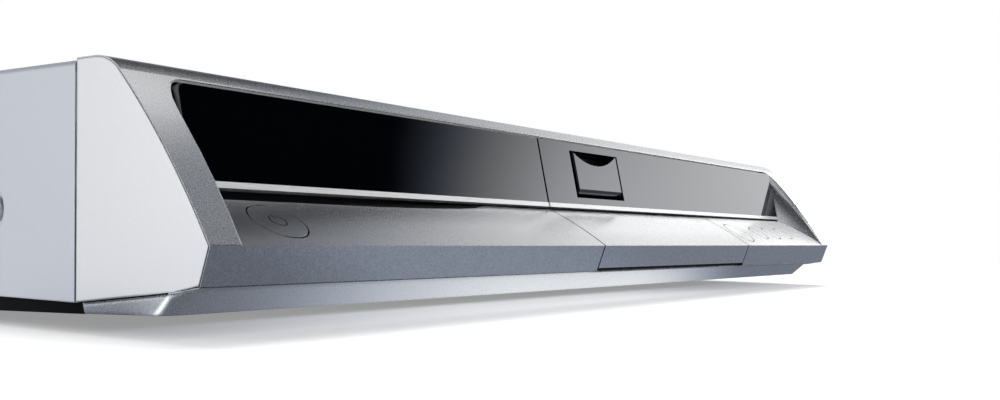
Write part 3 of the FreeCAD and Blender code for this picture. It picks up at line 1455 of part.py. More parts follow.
def make_fan():
    front = rear_plate_y - fan_depth
    back = rear_plate_y
    frame = box(fan_x - fan_half, fan_x + fan_half, front, back, fan_z - fan_half, fan_z + fan_half)
    frame = frame.cut(rody(front - 1, back + 1, fan_x, fan_z, fan_bore_r))
    hub = rody(back - 2.0, back, fan_x, fan_z, 10.0)
    arms = []
    for turn in (0, 90):
        arm = box(-fan_half + 0.8, fan_half - 0.8, back - 2.0, back, -1.5, 1.5)
        arm.rotate(vec(0, 0, 0), vec(0, 1, 0), turn)
        arm.translate(vec(fan_x, 0, fan_z))
        arms.append(arm)
    frame = join(frame, hub, arms[0], arms[1], rody(front + 3.0, back - 1.0, fan_x, fan_z, spindle_r))
    holes = []
    for dx in (-fan_hole, fan_hole):
        for dz in (-fan_hole, fan_hole):
            holes.append(rody(front - 1, back + 1, fan_x + dx, fan_z + dz, screw_r + 0.1))
    keep("fan_frame", cut_all(frame, holes))
    cup = rody(front + 1.0, back - 2.0 - run_clearance, fan_x, fan_z, 10.5)
    centre = vec(fan_x, (front + back) / 2 - 0.8, fan_z)
    upright = FreeCAD.Placement(centre, FreeCAD.Rotation(vec(1, 0, 0), 90))
    blades = []
    for i in range(7):
        blade = box(8.0, fan_bore_r - 1.0, -0.6, 0.6, -5.2, 5.2)
        blade.rotate(vec(0, 0, 0), vec(1, 0, 0), 42.0)
        spread = FreeCAD.Placement(vec(0, 0, 0), FreeCAD.Rotation(vec(0, 0, 1), i * 360.0 / 7))
        blade.Placement = upright.multiply(spread).multiply(blade.Placement)
        blades.append(blade)
    rotor = join(cup, *blades)
    keep("fan_rotor", rotor.cut(rody(front, back, fan_x, fan_z, spindle_r + run_clearance)))


def ribbon(points, x0, x1, thick, foot_z):
    # flat cable bent in the side view, ending flat at foot_z
    up = []
    down = []
    for i, (y, z) in enumerate(points):
        a = points[max(i - 1, 0)]
        b = points[min(i + 1, len(points) - 1)]
        d = unit(b[0] - a[0], b[1] - a[1])
        up.append((y - d.z * thick / 2, z + d.y * thick / 2))
        down.append((y + d.z * thick / 2, z - d.y * thick / 2))
    strip = prism(up + down[::-1], x0, x1)
    last = points[-1][0]
    return strip.cut(box(x0 - 1, x1 + 1, last - 5, last + 5, foot_z - 10, foot_z))


def make_cables():
    foot = board_top + 7.0
    back = inner_y + inner_sheet
    end = card_socket_back_y
    first = [(back, 16.0), (46.0, 14.0), (54.0, 6.0), (62.0, 1.0), (71.0, 2.0)]
    first += [(76.6, 0.6), (77.4, foot - 0.5)]
    second = [(end, 25.0), (68.0, 23.0), (73.0, 14.0), (76.0, 6.0), (77.0, foot - 0.5)]
    left = on_main(93.0)
    wide = ribbon(first, left, left + 24.0, 0.5, foot).cut(box(left - 5, left + 30, 0, back, 0, 30))
    left = on_main(52.0)
    narrow = ribbon(second, left, left + 14.0, 0.5, foot).cut(box(left - 5, left + 20, 0, end, 0, 40))
    keep("flat_cables", wide, narrow)


def save():
    os.makedirs("parts", exist_ok=True)
    move = vec(0, -overall_depth / 2, -foot_bottom_z)
    for name, solids in shapes.items():
        shape = solids[0] if len(solids) == 1 else Part.makeCompound(solids)
        shape = shape.copy()
        shape.translate(move)
        shape.exportStep("parts/%s.step" % name)
    print(len(shapes), "nodes")


def build():
    makers = [make_front_frame, make_cheeks, make_deck_left, make_deck_right, make_buttons]
    makers += [make_flap, make_skirt]
    makers += [make_windows, make_card_door, make_card_door_frame, make_inner_panel, make_display]
    makers += [make_card_socket, make_jacks, make_front_boards, make_cover, make_screws, make_base]
    makers += [make_rear_plate, make_feet, make_drive_case, make_drive_lid, make_tray, make_turntable]
    makers += [make_sub_plate, make_sled, make_lead_screw, make_drive_motors]
    makers += [make_loading_gears, make_clamp]
    makers += [make_hard_disk, make_main_board, make_heat_sinks, make_capacitors, make_power_board]
    makers += [make_mains_inlet, make_rear_sockets, make_rear_jacks, make_tuner, make_fan, make_cables]
    for maker in makers:
        maker()
    save()


build()
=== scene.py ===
import math
from functools import reduce
import bpy
import numpy as np
from mathutils import Matrix


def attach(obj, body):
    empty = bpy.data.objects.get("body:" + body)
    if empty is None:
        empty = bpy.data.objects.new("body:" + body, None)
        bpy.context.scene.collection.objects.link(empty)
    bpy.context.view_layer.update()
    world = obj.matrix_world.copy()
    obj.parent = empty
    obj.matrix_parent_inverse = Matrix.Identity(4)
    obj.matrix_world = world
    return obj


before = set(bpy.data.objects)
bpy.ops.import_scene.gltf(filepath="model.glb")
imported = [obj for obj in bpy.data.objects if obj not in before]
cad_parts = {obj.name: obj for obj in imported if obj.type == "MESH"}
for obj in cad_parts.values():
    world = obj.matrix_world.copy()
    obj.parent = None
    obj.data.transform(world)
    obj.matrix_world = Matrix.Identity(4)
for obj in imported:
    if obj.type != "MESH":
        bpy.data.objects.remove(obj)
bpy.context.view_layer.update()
print("frame loaded with", len(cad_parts), "nodes")

# the drawing of the front uses millimetres from the middle of the nose line
noseShift = np.array([0.0, -165.0, 22.0])


# points in millimetres from the nose line, moved and scaled into the frame of the model
def metres(points):
    return (np.asarray(points, float) + noseShift) / 1000.0


# the same for one coordinate
def coordinate(axis, value):
    return (value + float(noseShift["xyz".index(axis)])) / 1000.0


# one output socket of a node; arithmetic on it adds Math nodes
class Signal:
    def __init__(self, finish, socket):
        self.finish = finish
        self.socket = socket

    def maths(self, operation, *parts):
        return self.finish.node("Math", {"operation": operation}, dict(enumerate(parts)))

    def __add__(self, other):
        return self.maths("ADD", self, other)

    def __sub__(self, other):
        return self.maths("SUBTRACT", self, other)

    def __rsub__(self, other):
        return self.maths("SUBTRACT", other, self)

    def __mul__(self, other):
        return self.maths("MULTIPLY", self, other)

    def __pow__(self, other):
        return self.maths("POWER", self, other)

    def __gt__(self, other):
        return self.maths("GREATER_THAN", self, other)

    def __lt__(self, other):
        return self.maths("LESS_THAN", self, other)

    def __abs__(self):
        return self.maths("ABSOLUTE", self)

    def __neg__(self):
        return self.maths("MULTIPLY", self, -1.0)

    def most(self, other):
        return self.maths("MAXIMUM", self, other)

    # saw wave of the signal, from minus to plus half a pitch
    def wrap(self, pitch):
        return self.maths("WRAP", self, -pitch / 2, pitch / 2)

    __radd__ = __add__
    __rmul__ = __mul__


# a material, or the world, under construction: its node tree, its shader and the places on the piece
class Finish:
    spotWidth = 0.7  # of a noise whose scale is 1

    def __init__(self, name, world=None):
        self.material = None if world else bpy.data.materials.new(name)
        owner = world or self.material
        owner.use_nodes = True
        self.tree = owner.node_tree
        self.shader = self.tree.nodes.get("Principled BSDF")
        self.place = self.node("TexCoord", out="Generated" if world else "Object")
        self.x, self.y, self.z = self.parts(self.place)

    # adds a node: its settings first, then the values or links of its sockets
    def node(self, kind, settings=None, inputs=None, out=0):
        made = self.tree.nodes.new("ShaderNode" + kind)
        for key, value in (settings or {}).items():
            setattr(made, key, value)
        for key, value in (inputs or {}).items():
            self.feed(made.inputs[key], value)
        return Signal(self, made.outputs[out])

    # links a signal to a socket, or writes a value on it
    def feed(self, socket, value):
        if isinstance(value, Signal):
            self.tree.links.new(value.socket, socket)
        elif socket.type == "RGBA" and len(value) == 3:
            socket.default_value = (*value, 1.0)
        else:
            socket.default_value = value

    # a socket of the shader, by its name without the spaces
    def shaderSocket(self, name):
        wanted = name[0].upper() + name[1:]
        return next(socket for socket in self.shader.inputs if socket.name.replace(" ", "") == wanted)

    def set(self, **looks):
        for name, value in looks.items():
            self.feed(self.shaderSocket(name), value)
        return self

    def parts(self, vector):
        split = self.node("SeparateXYZ", None, {0: vector}).socket.node
        return [Signal(self, socket) for socket in split.outputs]

    def stretched(self, scale, turn=(0.0, 0.0, 0.0)):
        return self.node("Mapping", None, {"Vector": self.place, "Scale": scale, "Rotation": turn})

    # cloudy pattern from 0 to 1 whose spots are about size metres wide
    def noise(self, size, detail=2.0, rough=0.5, at=None):
        inputs = {"Vector": at or self.place, "Scale": self.spotWidth / size, "Detail": detail, "Roughness": rough}
        return self.node("TexNoise", None, inputs)

    # pattern of cells about size metres wide
    def cells(self, size, out="Distance"):
        return self.node("TexVoronoi", None, {"Vector": self.place, "Scale": 1.0 / size}, out)

    # a random number from 0 to 1 for each cell
    def chance(self, size):
        return self.node("SeparateColor", None, {0: self.cells(size, "Color")})

    # goes from 0 to 1 while the signal goes from low to high
    def ramp(self, signal, low, high, kind="SMOOTHSTEP"):
        inputs = {"Value": signal, "From Min": low, "From Max": high}
        return self.node("MapRange", {"interpolation_type": kind}, inputs)

    # colour that goes from the first to the second as share goes from 0 to 1;
    # inputs 6 and 7 and output 2 of a Mix node are its colours
    def blend(self, share, first, second):
        return self.node("Mix", {"data_type": "RGBA"}, {0: share, 6: first, 7: second}, 2)

    # a colour that goes from its dark shade to its light one as tone goes from 0 to 1
    def toned(self, tone, colour, shades):
        return self.blend(tone, *(shade(colour, amount) for amount in shades))

    # distance in metres from a point, or from a line where an axis is left out
    def near(self, point, axes="xyz"):
        steps = [getattr(self, axis) - float(value) for axis, value in zip("xyz", point) if axis in axes]
        return sum(step * step for step in steps) ** 0.5

    # 1 where each coordinate lies in its span, in millimetres from the nose line, 0 outside
    def inside(self, **spans):
        mask = 1.0
        for axis, (low, high) in spans.items():
            signal = getattr(self, axis)
            mask = (signal > coordinate(axis, low)) * (signal < coordinate(axis, high)) * mask
        return mask

    # height over a plane through a point in millimetres from the nose line, along its outward direction
    def above(self, point, out):
        start = metres(point)
        return sum((getattr(self, axis) - float(start[n])) * float(out[n]) for n, axis in enumerate("xyz") if out[n])

    # two masks of rays: those from the camera or through glass, and mirrored ones
    def rays(self):
        kinds = self.node("LightPath").socket.node.outputs
        camera, glass, mirrored = [Signal(self, kinds["Is " + kind + " Ray"])
                                   for kind in ("Camera", "Transmission", "Glossy")]
        return camera.most(glass), mirrored

    # feeds the normal: rounded edges, then bumps whose highest point is depth metres
    def relief(self, height, depth, edge):
        rounded = self.node("Bevel", {"samples": 4}, {"Radius": edge})
        bumps = {"Height": height, "Distance": depth, "Strength": 1.0, "Normal": rounded}
        return self.set(normal=self.node("Bump", None, bumps))

    # lays a second look over the first where mask is 1
    def over(self, mask, **looks):
        for name, value in looks.items():
            socket = self.shaderSocket(name)
            first = Signal(self, socket.links[0].from_socket) if socket.links else socket.default_value
            if socket.type == "RGBA":
                self.feed(socket, self.blend(mask, first, value))
            else:
                self.feed(socket, (1.0 - mask) * first + mask * value)
        return self


def dress(finish, *nodes):
    for name in nodes:
        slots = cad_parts[name].data.materials
        slots.clear()
        slots.append(finish.material)


def shade(colour, amount):
    return tuple(min(1.0, part * amount) for part in colour)


# 1 where at least one of the masks is 1
def anyOf(masks):
    return reduce(Signal.most, masks)


# value that patterns move to both sides, each by its amount
def swing(value, *patterns):
    for pattern, amount in patterns:
        value = value + (pattern - 0.5) * amount
    return value


# each kind of finish has a dictionary of what all its looks share, before its function
paintMix = {"shades": (0.75, 1.25), "clump": 1.6, "clumpTone": 0.5, "cloudTone": 0.1, "roughBy": 0.03}


# metallic paint: fine flakes of differing tone, faint clouds, and a slight peel in the gloss
def flakePaint(name, look):
    finish = Finish(name)
    clouds = finish.noise(look["clouds"], detail=3.0)
    flakes = finish.chance(look["flake"])
    clumps = finish.noise(look["flake"] * paintMix["clump"], detail=1.0, rough=0.6)
    tone = swing(0.5, (flakes, look["sparkle"]), (clumps, look["sparkle"] * paintMix["clumpTone"]),
                 (clouds, paintMix["cloudTone"]))
    rough = swing(look["rough"], (clouds, paintMix["roughBy"]), (flakes, paintMix["roughBy"]))
    colour = finish.toned(tone, look["colour"], paintMix["shades"])
    finish.set(baseColor=colour, roughness=rough, metallic=look["metal"])
    return finish.relief(finish.noise(look["peel"]) + clumps * look["grain"], look["depth"], look["edge"])


plasticMix = {"shades": (0.8, 1.2), "cloud": 0.012, "fine": 0.4, "tone": 0.5, "cloudRough": 0.1,
              "fineRough": 0.12, "grainBump": 0.7, "fineBump": 0.3}


# moulded plastic: spark eroded grain, faint flow clouds and a little dust in the tone
def mouldedPlastic(name, look):
    finish = Finish(name)
    grain = finish.cells(look["grain"])
    clouds = finish.noise(plasticMix["cloud"], detail=3.0)
    fine = finish.noise(look["grain"] * plasticMix["fine"])
    tone = swing(0.5, (clouds, plasticMix["tone"]), (fine, plasticMix["tone"]))
    rough = swing(look["rough"], (clouds, plasticMix["cloudRough"]), (fine, plasticMix["fineRough"]))
    finish.set(baseColor=finish.toned(tone, look["colour"], plasticMix["shades"]), roughness=rough)
    bumps = grain * plasticMix["grainBump"] + fine * plasticMix["fineBump"]
    return finish.relief(bumps, look["depth"], look["edge"])


brushMix = {"shades": (0.7, 1.25), "broad": 5.0, "cloud": 0.02, "cloudTone": 0.2, "streakRough": 0.2,
            "cloudRough": 0.08}


# metal brushed along one axis: fine streaks in tone, roughness and relief
def brushedMetal(name, look):
    finish = Finish(name)
    along = finish.stretched(look["stretch"])
    streaks = finish.noise(look["streak"], detail=3.0, rough=0.6, at=along)
    broad = finish.noise(look["streak"] * brushMix["broad"], at=along)
    clouds = finish.noise(brushMix["cloud"], detail=3.0)
    tone = swing(0.5, (streaks, look["contrast"]), (broad, look["contrast"]), (clouds, brushMix["cloudTone"]))
    rough = swing(look["rough"], (streaks, brushMix["streakRough"]), (clouds, brushMix["cloudRough"]))
    colour = finish.toned(tone, look["colour"], brushMix["shades"])
    finish.set(baseColor=colour, roughness=rough, metallic=look["metal"])
    return finish.relief(streaks, look["depth"], look["edge"])


zincMix = {"shades": (0.75, 1.2), "small": 0.37, "line": 0.0002, "stain": 0.03, "stainEdge": (0.45, 0.75),
           "stainBy": 0.1, "crystalTone": 0.3, "smallTone": 0.16, "lineTone": 0.2, "roughBy": 0.1,
           "crystalBump": 0.5}


# zinc plated sheet: crystals of differing tone and gloss, with fine rolling lines over them
def zincSheet(name, look):
    finish = Finish(name)
    crystals = finish.chance(look["crystal"])
    small = finish.chance(look["crystal"] * zincMix["small"])
    lines = finish.noise(zincMix["line"], at=finish.stretched(look["stretch"]))
    spots = finish.noise(zincMix["stain"], detail=4.0, rough=0.6)
    stains = finish.ramp(spots, *zincMix["stainEdge"]) * zincMix["stainBy"]
    tone = swing(0.5, (crystals, zincMix["crystalTone"]), (small, zincMix["smallTone"]), (lines, zincMix["lineTone"]))
    rough = swing(look["rough"], (crystals, zincMix["roughBy"]), (lines, zincMix["roughBy"])) + stains
    colour = finish.toned(tone - stains, look["colour"], zincMix["shades"])
    finish.set(baseColor=colour, roughness=rough, metallic=look["metal"])
    return finish.relief(lines + crystals * zincMix["crystalBump"], look["depth"], look["edge"])


glossMix = {"shades": (0.85, 1.15), "wipe": 0.03, "wipeWay": (1.0, 1.0, 3.0), "hair": 0.0006,
            "hairWay": (0.05, 1.0, 1.0), "hairTurn": (0.0, 0.12, 0.0), "hairEdge": (0.66, 0.8),
            "wipeRough": 0.02, "hairRough": 0.04}


# polished panel: deep even colour, with wiping marks and hairlines only in its gloss
def glossPanel(name, look):
    finish = Finish(name)
    wiped = finish.noise(glossMix["wipe"], detail=4.0, rough=0.6, at=finish.stretched(glossMix["wipeWay"]))
    fine = finish.noise(glossMix["hair"], at=finish.stretched(glossMix["hairWay"], glossMix["hairTurn"]))
    hairs = finish.ramp(fine, *glossMix["hairEdge"])
    rough = look["rough"] + wiped * glossMix["wipeRough"] + hairs * glossMix["hairRough"]
    colour = finish.toned(wiped, look["colour"], glossMix["shades"])
    finish.set(baseColor=colour, roughness=rough, metallic=look["metal"], iOR=look["ior"])
    return finish.relief(wiped, look["depth"], look["edge"])


# the sheet metal cover and the two cheeks, in pale silver
coverPaint = {"colour": (0.55, 0.575, 0.63), "rough": 0.36, "metal": 0.8, "flake": 0.00022, "sparkle": 0.10,
              "grain": 0.5, "peel": 0.0012, "clouds": 0.05, "depth": 0.000002, "edge": 0.0006}
dress(flakePaint("coverSilver", coverPaint), "top_cover")
cheekPaint = dict(coverPaint, colour=(0.71, 0.715, 0.74), rough=0.34, edge=0.0005)
dress(flakePaint("cheekSilver", cheekPaint), "cheek_left", "cheek_right")

# silver paint of the front, and the forms that its masks follow
frontPaint = {"colour": (0.77, 0.775, 0.79), "rough": 0.28, "metal": 0.95, "flake": 0.0003, "sparkle": 0.2,
              "grain": 0.3, "peel": 0.0009, "clouds": 0.04, "depth": 0.0000003, "edge": 0.0003}
frontForm = {"deckOut": (0.0, -0.4785, 0.8781), "deckWay": (0.0, 0.8781, 0.4785), "deckLength": 0.02623,
             "bulge": 0.00062, "faceOut": (0.0, -0.9439, -0.3304), "slopeOut": (0.0, -0.7875, 0.6163),
             "nose": (0.0, 0.0, 0.0)}

# the frame: the upper walls of the window recess, which face down, are a plainer, paler silver: painted light, for
# the light they catch from below
lipPaintedLight = {"sunk": 0.0002, "foot": (0.045, 0.055), "top": 0.0625, "right": 0.19,
           "paint": {"baseColor": (0.9, 0.9, 0.91), "metallic": 0.0, "roughness": 0.5}}
frameFinish = flakePaint("frameSilver", frontPaint)
sunk = frameFinish.above(frontForm["nose"], frontForm["slopeOut"]) < -lipPaintedLight["sunk"]
upper = frameFinish.ramp(frameFinish.z, *lipPaintedLight["foot"]) * (frameFinish.z < lipPaintedLight["top"])
# painted light on the downward-facing upper walls of the recess
frameFinish.over(sunk * upper * (frameFinish.x < lipPaintedLight["right"]), **lipPaintedLight["paint"])
dress(frameFinish, "front_frame")

# the skirt: its upper lip is darker, painted shade where the face above it shades it
skirtPaint = dict(frontPaint, edge=0.0014, lip=0.0118, lipColour=(0.56, 0.565, 0.58))
skirtFinish = flakePaint("skirtSilver", skirtPaint)
# painted shade on the skirt's upper lip
skirtFinish.over(skirtFinish.z > skirtPaint["lip"], baseColor=skirtPaint["lipColour"])
dress(skirtFinish, "lower_skirt")

# deck, flap and buttons: bright on the deck, and grainy on the face under the nose line
deckPaint = dict(frontPaint, colour=(0.86, 0.865, 0.88), rough=0.26, metal=1.0, edge=0.0001, depth=0.0000001,
                 sparkle=0.16, grit=0.00036, faceTones=((0.76, 0.765, 0.78), (1.0, 1.0, 1.0)),
                 paleEnd=(0.06, 0.15), paleMetal=0.22, paintReach=0.00008,
                 bare={"baseColor": (0.002, 0.002, 0.003), "metallic": 1.0, "roughness": 0.7})


# 1 on what lies deeper than a small depth under both the bowed deck and the flat face: bare plastic inside
# the seams, and painted shade on the tops of their walls and in the hollow at the deck's back edge;
# the bow is a parabola over the length of the deck
def bareAndShadedMask(finish, reach):
    share = finish.above(frontForm["nose"], frontForm["deckWay"]) * (1.0 / frontForm["deckLength"])
    bow = share * (1.0 - share) * (4.0 * frontForm["bulge"])
    bowed = finish.above(frontForm["nose"], frontForm["deckOut"]) - bow
    return (bowed < -reach) * (finish.above(frontForm["nose"], frontForm["faceOut"]) < -reach)


# silver with a coarser grain on the face; paler at the right end of the deck, a painted highlight; and black inside
# the seams, bare plastic that also paints the shade in the seams and in the hollow at the deck's back edge
def deckFinish(name, look):
    finish = flakePaint(name, look)
    face = finish.z < coordinate("z", 0.0)
    finish.over(face, baseColor=finish.blend(finish.chance(look["grit"]), *look["faceTones"]))
    # painted highlight: the right end of the deck turns less metallic, so it shows paler
    finish.over((1.0 - face) * finish.ramp(finish.x, *look["paleEnd"]), metallic=look["paleMetal"])
    # black inside the seams: bare plastic, and painted shade on the seam walls and in the hollow at the deck's back
    # edge
    return finish.over(bareAndShadedMask(finish, look["paintReach"]), **look["bare"])


dress(deckFinish("deckSilver", deckPaint), "deck_left", "deck_right", "jack_flap")
dress(deckFinish("buttonSilver", deckPaint), "round_button", "small_button_1", "small_button_2", "small_button_3")

# the power button carries a faint print: an open ring with a stroke in its gap
powerPrint = {"centre": (-186.0, 9.83, 5.36), "ring": 0.0023, "line": 0.0002, "gap": 0.0011,
              "stroke": (0.0007, 0.0032), "ink": {"baseColor": (0.05, 0.052, 0.06), "roughness": 0.5}}
powerFinish = deckFinish("powerSilver", deckPaint)
across = powerFinish.x - coordinate("x", powerPrint["centre"][0])
upward = powerFinish.above(powerPrint["centre"], frontForm["deckWay"])
reach = (across * across + upward * upward) ** 0.5
gap = (abs(across) < powerPrint["gap"]) * (upward > 0.0)
ring = (abs(reach - powerPrint["ring"]) < powerPrint["line"]) * (1.0 - gap)
stroke = (abs(across) < powerPrint["line"]) * (upward > powerPrint["stroke"][0]) * (upward < powerPrint["stroke"][1])
powerFinish.over(ring.most(stroke), **powerPrint["ink"])
dress(powerFinish, "power_button")

# black gloss windows with the door of the card slot between them
windowLook = {"colour": (0.0006, 0.0008, 0.0014), "rough": 0.03, "metal": 0.0, "ior": 2.1, "depth": 0.0000003,
              "edge": 0.0002, "tint": (0.92, 0.94, 1.0)}
windowFinish = glossPanel("windowBlack", windowLook)
windowFinish.set(specularTint=windowLook["tint"])
dress(windowFinish, "tray_front", "display_window")

# the left margin of the door is a matt black step: painted shade for the dark gap along that edge
doorLook = dict(windowLook, rough=0.06, margin=-13.4,
                step={"baseColor": (0.001, 0.001, 0.001), "metallic": 1.0, "roughness": 0.7})
doorFinish = glossPanel("doorBlack", doorLook)
doorFinish.set(specularTint=doorLook["tint"])
# painted shade on the door's left margin
doorFinish.over(doorFinish.x < coordinate("x", doorLook["margin"]), **doorLook["step"])
dress(doorFinish, "card_door")

stripLook = {"colour": (0.93, 0.935, 0.945), "rough": 0.3, "metal": 0.4, "stretch": (0.02, 1.0, 1.0),
             "streak": 0.00015, "contrast": 0.12, "depth": 0.000002, "edge": 0.00012}
dress(brushedMetal("stripBright", stripLook), "tray_strip", "display_strip")

lampLook = {"colour": (0.80, 0.74, 0.60), "rough": 0.25, "grain": 0.0004, "depth": 0.000004, "edge": 0.0002,
            "glow": {"subsurfaceWeight": 0.2, "subsurfaceRadius": (0.002, 0.0018, 0.0012), "subsurfaceScale": 1.0}}
lampFinish = mouldedPlastic("lampBeige", lampLook)
lampFinish.set(**lampLook["glow"])
dress(lampFinish, "lamp_lens")
print("outer shell dressed")

# inside the front
innerLook = {"colour": (0.008, 0.008, 0.010), "rough": 0.5, "grain": 0.0005, "depth": 0.00002, "edge": 0.0002}
dress(mouldedPlastic("innerBlack", innerLook), "inner_panel", "jack_panel", "card_door_frame", "drive_case",
      "sub_plate", "clamp_disc", "fan_frame", "fan_rotor")

tubeLook = {"colour": (0.02, 0.03, 0.03), "rough": 0.06, "metal": 0.0, "ior": 1.5, "depth": 0.000002,
            "edge": 0.0003}
dress(glossPanel("tubeGlass", tubeLook), "display_tube")

socketLook = {"colour": (0.02, 0.02, 0.023), "rough": 0.42, "grain": 0.0004, "depth": 0.00001, "edge": 0.0002}
dress(mouldedPlastic("socketBlack", socketLook), "switches")

platedLook = {"colour": (0.62, 0.63, 0.65), "rough": 0.28, "metal": 1.0, "stretch": (1.0, 0.05, 1.0),
              "streak": 0.0002, "contrast": 0.3, "depth": 0.000003, "edge": 0.0002}
dress(brushedMetal("platedSteel", platedLook), "card_socket", "tuner_can", "drive_lid", "drive_motors")

# the chassis: zinc plated back, black painted base
zincLook = {"colour": (0.60, 0.62, 0.63), "rough": 0.42, "metal": 0.8, "crystal": 0.0045,
            "stretch": (1.0, 0.04, 0.04), "depth": 0.000004, "edge": 0.0003}
dress(zincSheet("zincSheet", zincLook), "rear_plate", "disk_bracket")
baseLook = {"colour": (0.0015, 0.002, 0.003), "rough": 0.6, "grain": 0.0007, "depth": 0.00001, "edge": 0.0003,
            "gloss": 0.05}
baseFinish = mouldedPlastic("baseBlack", baseLook)
baseFinish.set(specularIORLevel=baseLook["gloss"])
dress(baseFinish, "base_pan")

rubberLook = {"colour": (0.025, 0.025, 0.026), "rough": 0.75, "grain": 0.0006, "depth": 0.00003, "edge": 0.0004}
dress(mouldedPlastic("footRubber", rubberLook), "feet")

screwLook = dict(platedLook, colour=(0.58, 0.58, 0.60), rough=0.3, stretch=(1.0, 1.0, 1.0), streak=0.0003,
                 contrast=0.25)
dress(brushedMetal("screwSteel", screwLook), "screws", "lead_screw")

# disc drive: black tray, pale gears, grey sled with its lens, spindle head with a rubber ring
trayLook = {"colour": (0.05, 0.05, 0.058), "rough": 0.42, "grain": 0.0005, "depth": 0.00002, "edge": 0.0004}
dress(mouldedPlastic("trayBlack", trayLook), "disc_tray")
gearLook = {"colour": (0.80, 0.80, 0.75), "rough": 0.4, "grain": 0.0007, "depth": 0.000008, "edge": 0.0002}
dress(mouldedPlastic("gearWhite", gearLook), "tray_gear", "motor_pinion")

turntableLook = {"colour": (0.09, 0.09, 0.10), "rough": 0.6, "grain": 0.0004, "depth": 0.00001, "edge": 0.0002,
                 "centre": (-120.4, 104.0, 0.0), "ring": (0.0105, 0.0135),
                 "rubber": {"baseColor": (0.015, 0.015, 0.016), "roughness": 0.85}}
turntableFinish = mouldedPlastic("turntableGrey", turntableLook)
fromAxis = turntableFinish.near(metres(turntableLook["centre"]), "xy")
rubberRing = (fromAxis > turntableLook["ring"][0]) * (fromAxis < turntableLook["ring"][1])
turntableFinish.over(rubberRing, **turntableLook["rubber"])
dress(turntableFinish, "turntable")

sledLook = {"colour": (0.14, 0.14, 0.16), "rough": 0.4, "grain": 0.0005, "depth": 0.00001, "edge": 0.0002,
            "top": 17.5, "lens": {"baseColor": (0.02, 0.05, 0.16), "roughness": 0.04}}
sledFinish = mouldedPlastic("sledGrey", sledLook)
sledFinish.over(sledFinish.z > coordinate("z", sledLook["top"]), **sledLook["lens"])
dress(sledFinish, "laser_sled")

# hard disk
castLook = {"colour": (0.52, 0.53, 0.55), "rough": 0.5, "grain": 0.0009, "depth": 0.00003, "edge": 0.0004}
castFinish = mouldedPlastic("castMetal", castLook)
castFinish.set(metallic=1.0)
dress(castFinish, "disk_case", "disk_arm")
lidLook = dict(platedLook, colour=(0.66, 0.67, 0.69), rough=0.24, stretch=(0.05, 1.0, 1.0))
dress(brushedMetal("diskCover", lidLook), "disk_lid")
platterLook = {"colour": (0.80, 0.80, 0.82), "rough": 0.02, "metal": 1.0, "ior": 1.5, "depth": 0.0000005,
               "edge": 0.0001}
dress(glossPanel("platterMirror", platterLook), "disk_platters")

boardLook = {"colour": (0.012, 0.11, 0.045), "rough": 0.32, "grain": 0.0006, "depth": 0.00001, "edge": 0.0001,
             "field": 0.02, "fieldEdge": (0.49, 0.51), "bend": 0.008, "bendBy": 0.004, "pitch": 0.0016,
             "track": 0.0003, "padField": 0.01, "padShare": 0.5, "padPitch": 0.0048, "pad": 0.0007,
             "copper": {"baseColor": (0.03, 0.20, 0.08)},
             "tin": {"baseColor": (0.62, 0.63, 0.64), "metallic": 0.9, "roughness": 0.35}}


# circuit board: copper tracks under green varnish, running one way in some fields and across in others,
# with tinned pads in some fields at every third line
def circuitBoard(name, look):
    finish = mouldedPlastic(name, look)
    field = finish.ramp(finish.noise(look["field"], detail=1.0), *look["fieldEdge"])
    bend = swing(0.0, (finish.noise(look["bend"], detail=0.0), look["bendBy"]))
    alongX, alongY = [abs((signal + bend).wrap(look["pitch"])) < look["track"] for signal in (finish.y, finish.x)]
    tracks = field * alongX + (1.0 - field) * alongY
    spotX, spotY = finish.x.wrap(look["padPitch"]), finish.y.wrap(look["padPitch"])
    pads = (spotX * spotX + spotY * spotY) ** 0.5 < look["pad"]
    padField = finish.noise(look["padField"], detail=1.0) > look["padShare"]
    finish.over(tracks, **look["copper"])
    return finish.over(pads * padField, **look["tin"])


dress(circuitBoard("boardGreen", boardLook), "main_board", "power_board", "front_boards")

# black chips, and pale plugs at the edges of the main board
chipLook = {"colour": (0.025, 0.025, 0.027), "rough": 0.5, "grain": 0.0003, "depth": 0.000008, "edge": 0.0002,
            "plug": {"baseColor": (0.72, 0.70, 0.62)},
            "plugs": ({"x": (-60, 90), "y": (70, 82)}, {"x": (77, 86), "y": (98, 142)},
                      {"x": (-46, -37.5), "y": (226, 266)})}
chipFinish = mouldedPlastic("chipBlack", chipLook)
chipFinish.over(anyOf(chipFinish.inside(**plug) for plug in chipLook["plugs"]), **chipLook["plug"])
dress(chipFinish, "board_parts")

# cans in a printed sleeve, with a bare metal top
canLook = {"colour": (0.03, 0.045, 0.12), "rough": 0.3, "grain": 0.0006, "depth": 0.000005, "edge": 0.0004,
           "facing": 0.8, "top": {"baseColor": (0.75, 0.76, 0.77), "metallic": 0.9}}
canFinish = mouldedPlastic("canSleeve", canLook)
upFacing = canFinish.parts(canFinish.node("NewGeometry", out="Normal"))[2]
canFinish.over(upFacing > canLook["facing"], **canLook["top"])
dress(canFinish, "capacitors")

sinkLook = dict(platedLook, colour=(0.45, 0.45, 0.47), rough=0.4)
dress(brushedMetal("sinkMetal", sinkLook), "heat_sinks")

# transformer: yellow tape round the coil, dark iron elsewhere
coilLook = {"colour": (0.60, 0.46, 0.10), "rough": 0.4, "grain": 0.0006, "depth": 0.00001, "edge": 0.0003,
            "coil": {"y": (255.9, 278.1), "z": (-1.2, 13.6)},
            "iron": {"baseColor": (0.06, 0.055, 0.05), "roughness": 0.6}}
coilFinish = mouldedPlastic("coilTape", coilLook)
coilFinish.over(1.0 - coilFinish.inside(**coilLook["coil"]), **coilLook["iron"])
dress(coilFinish, "transformer")

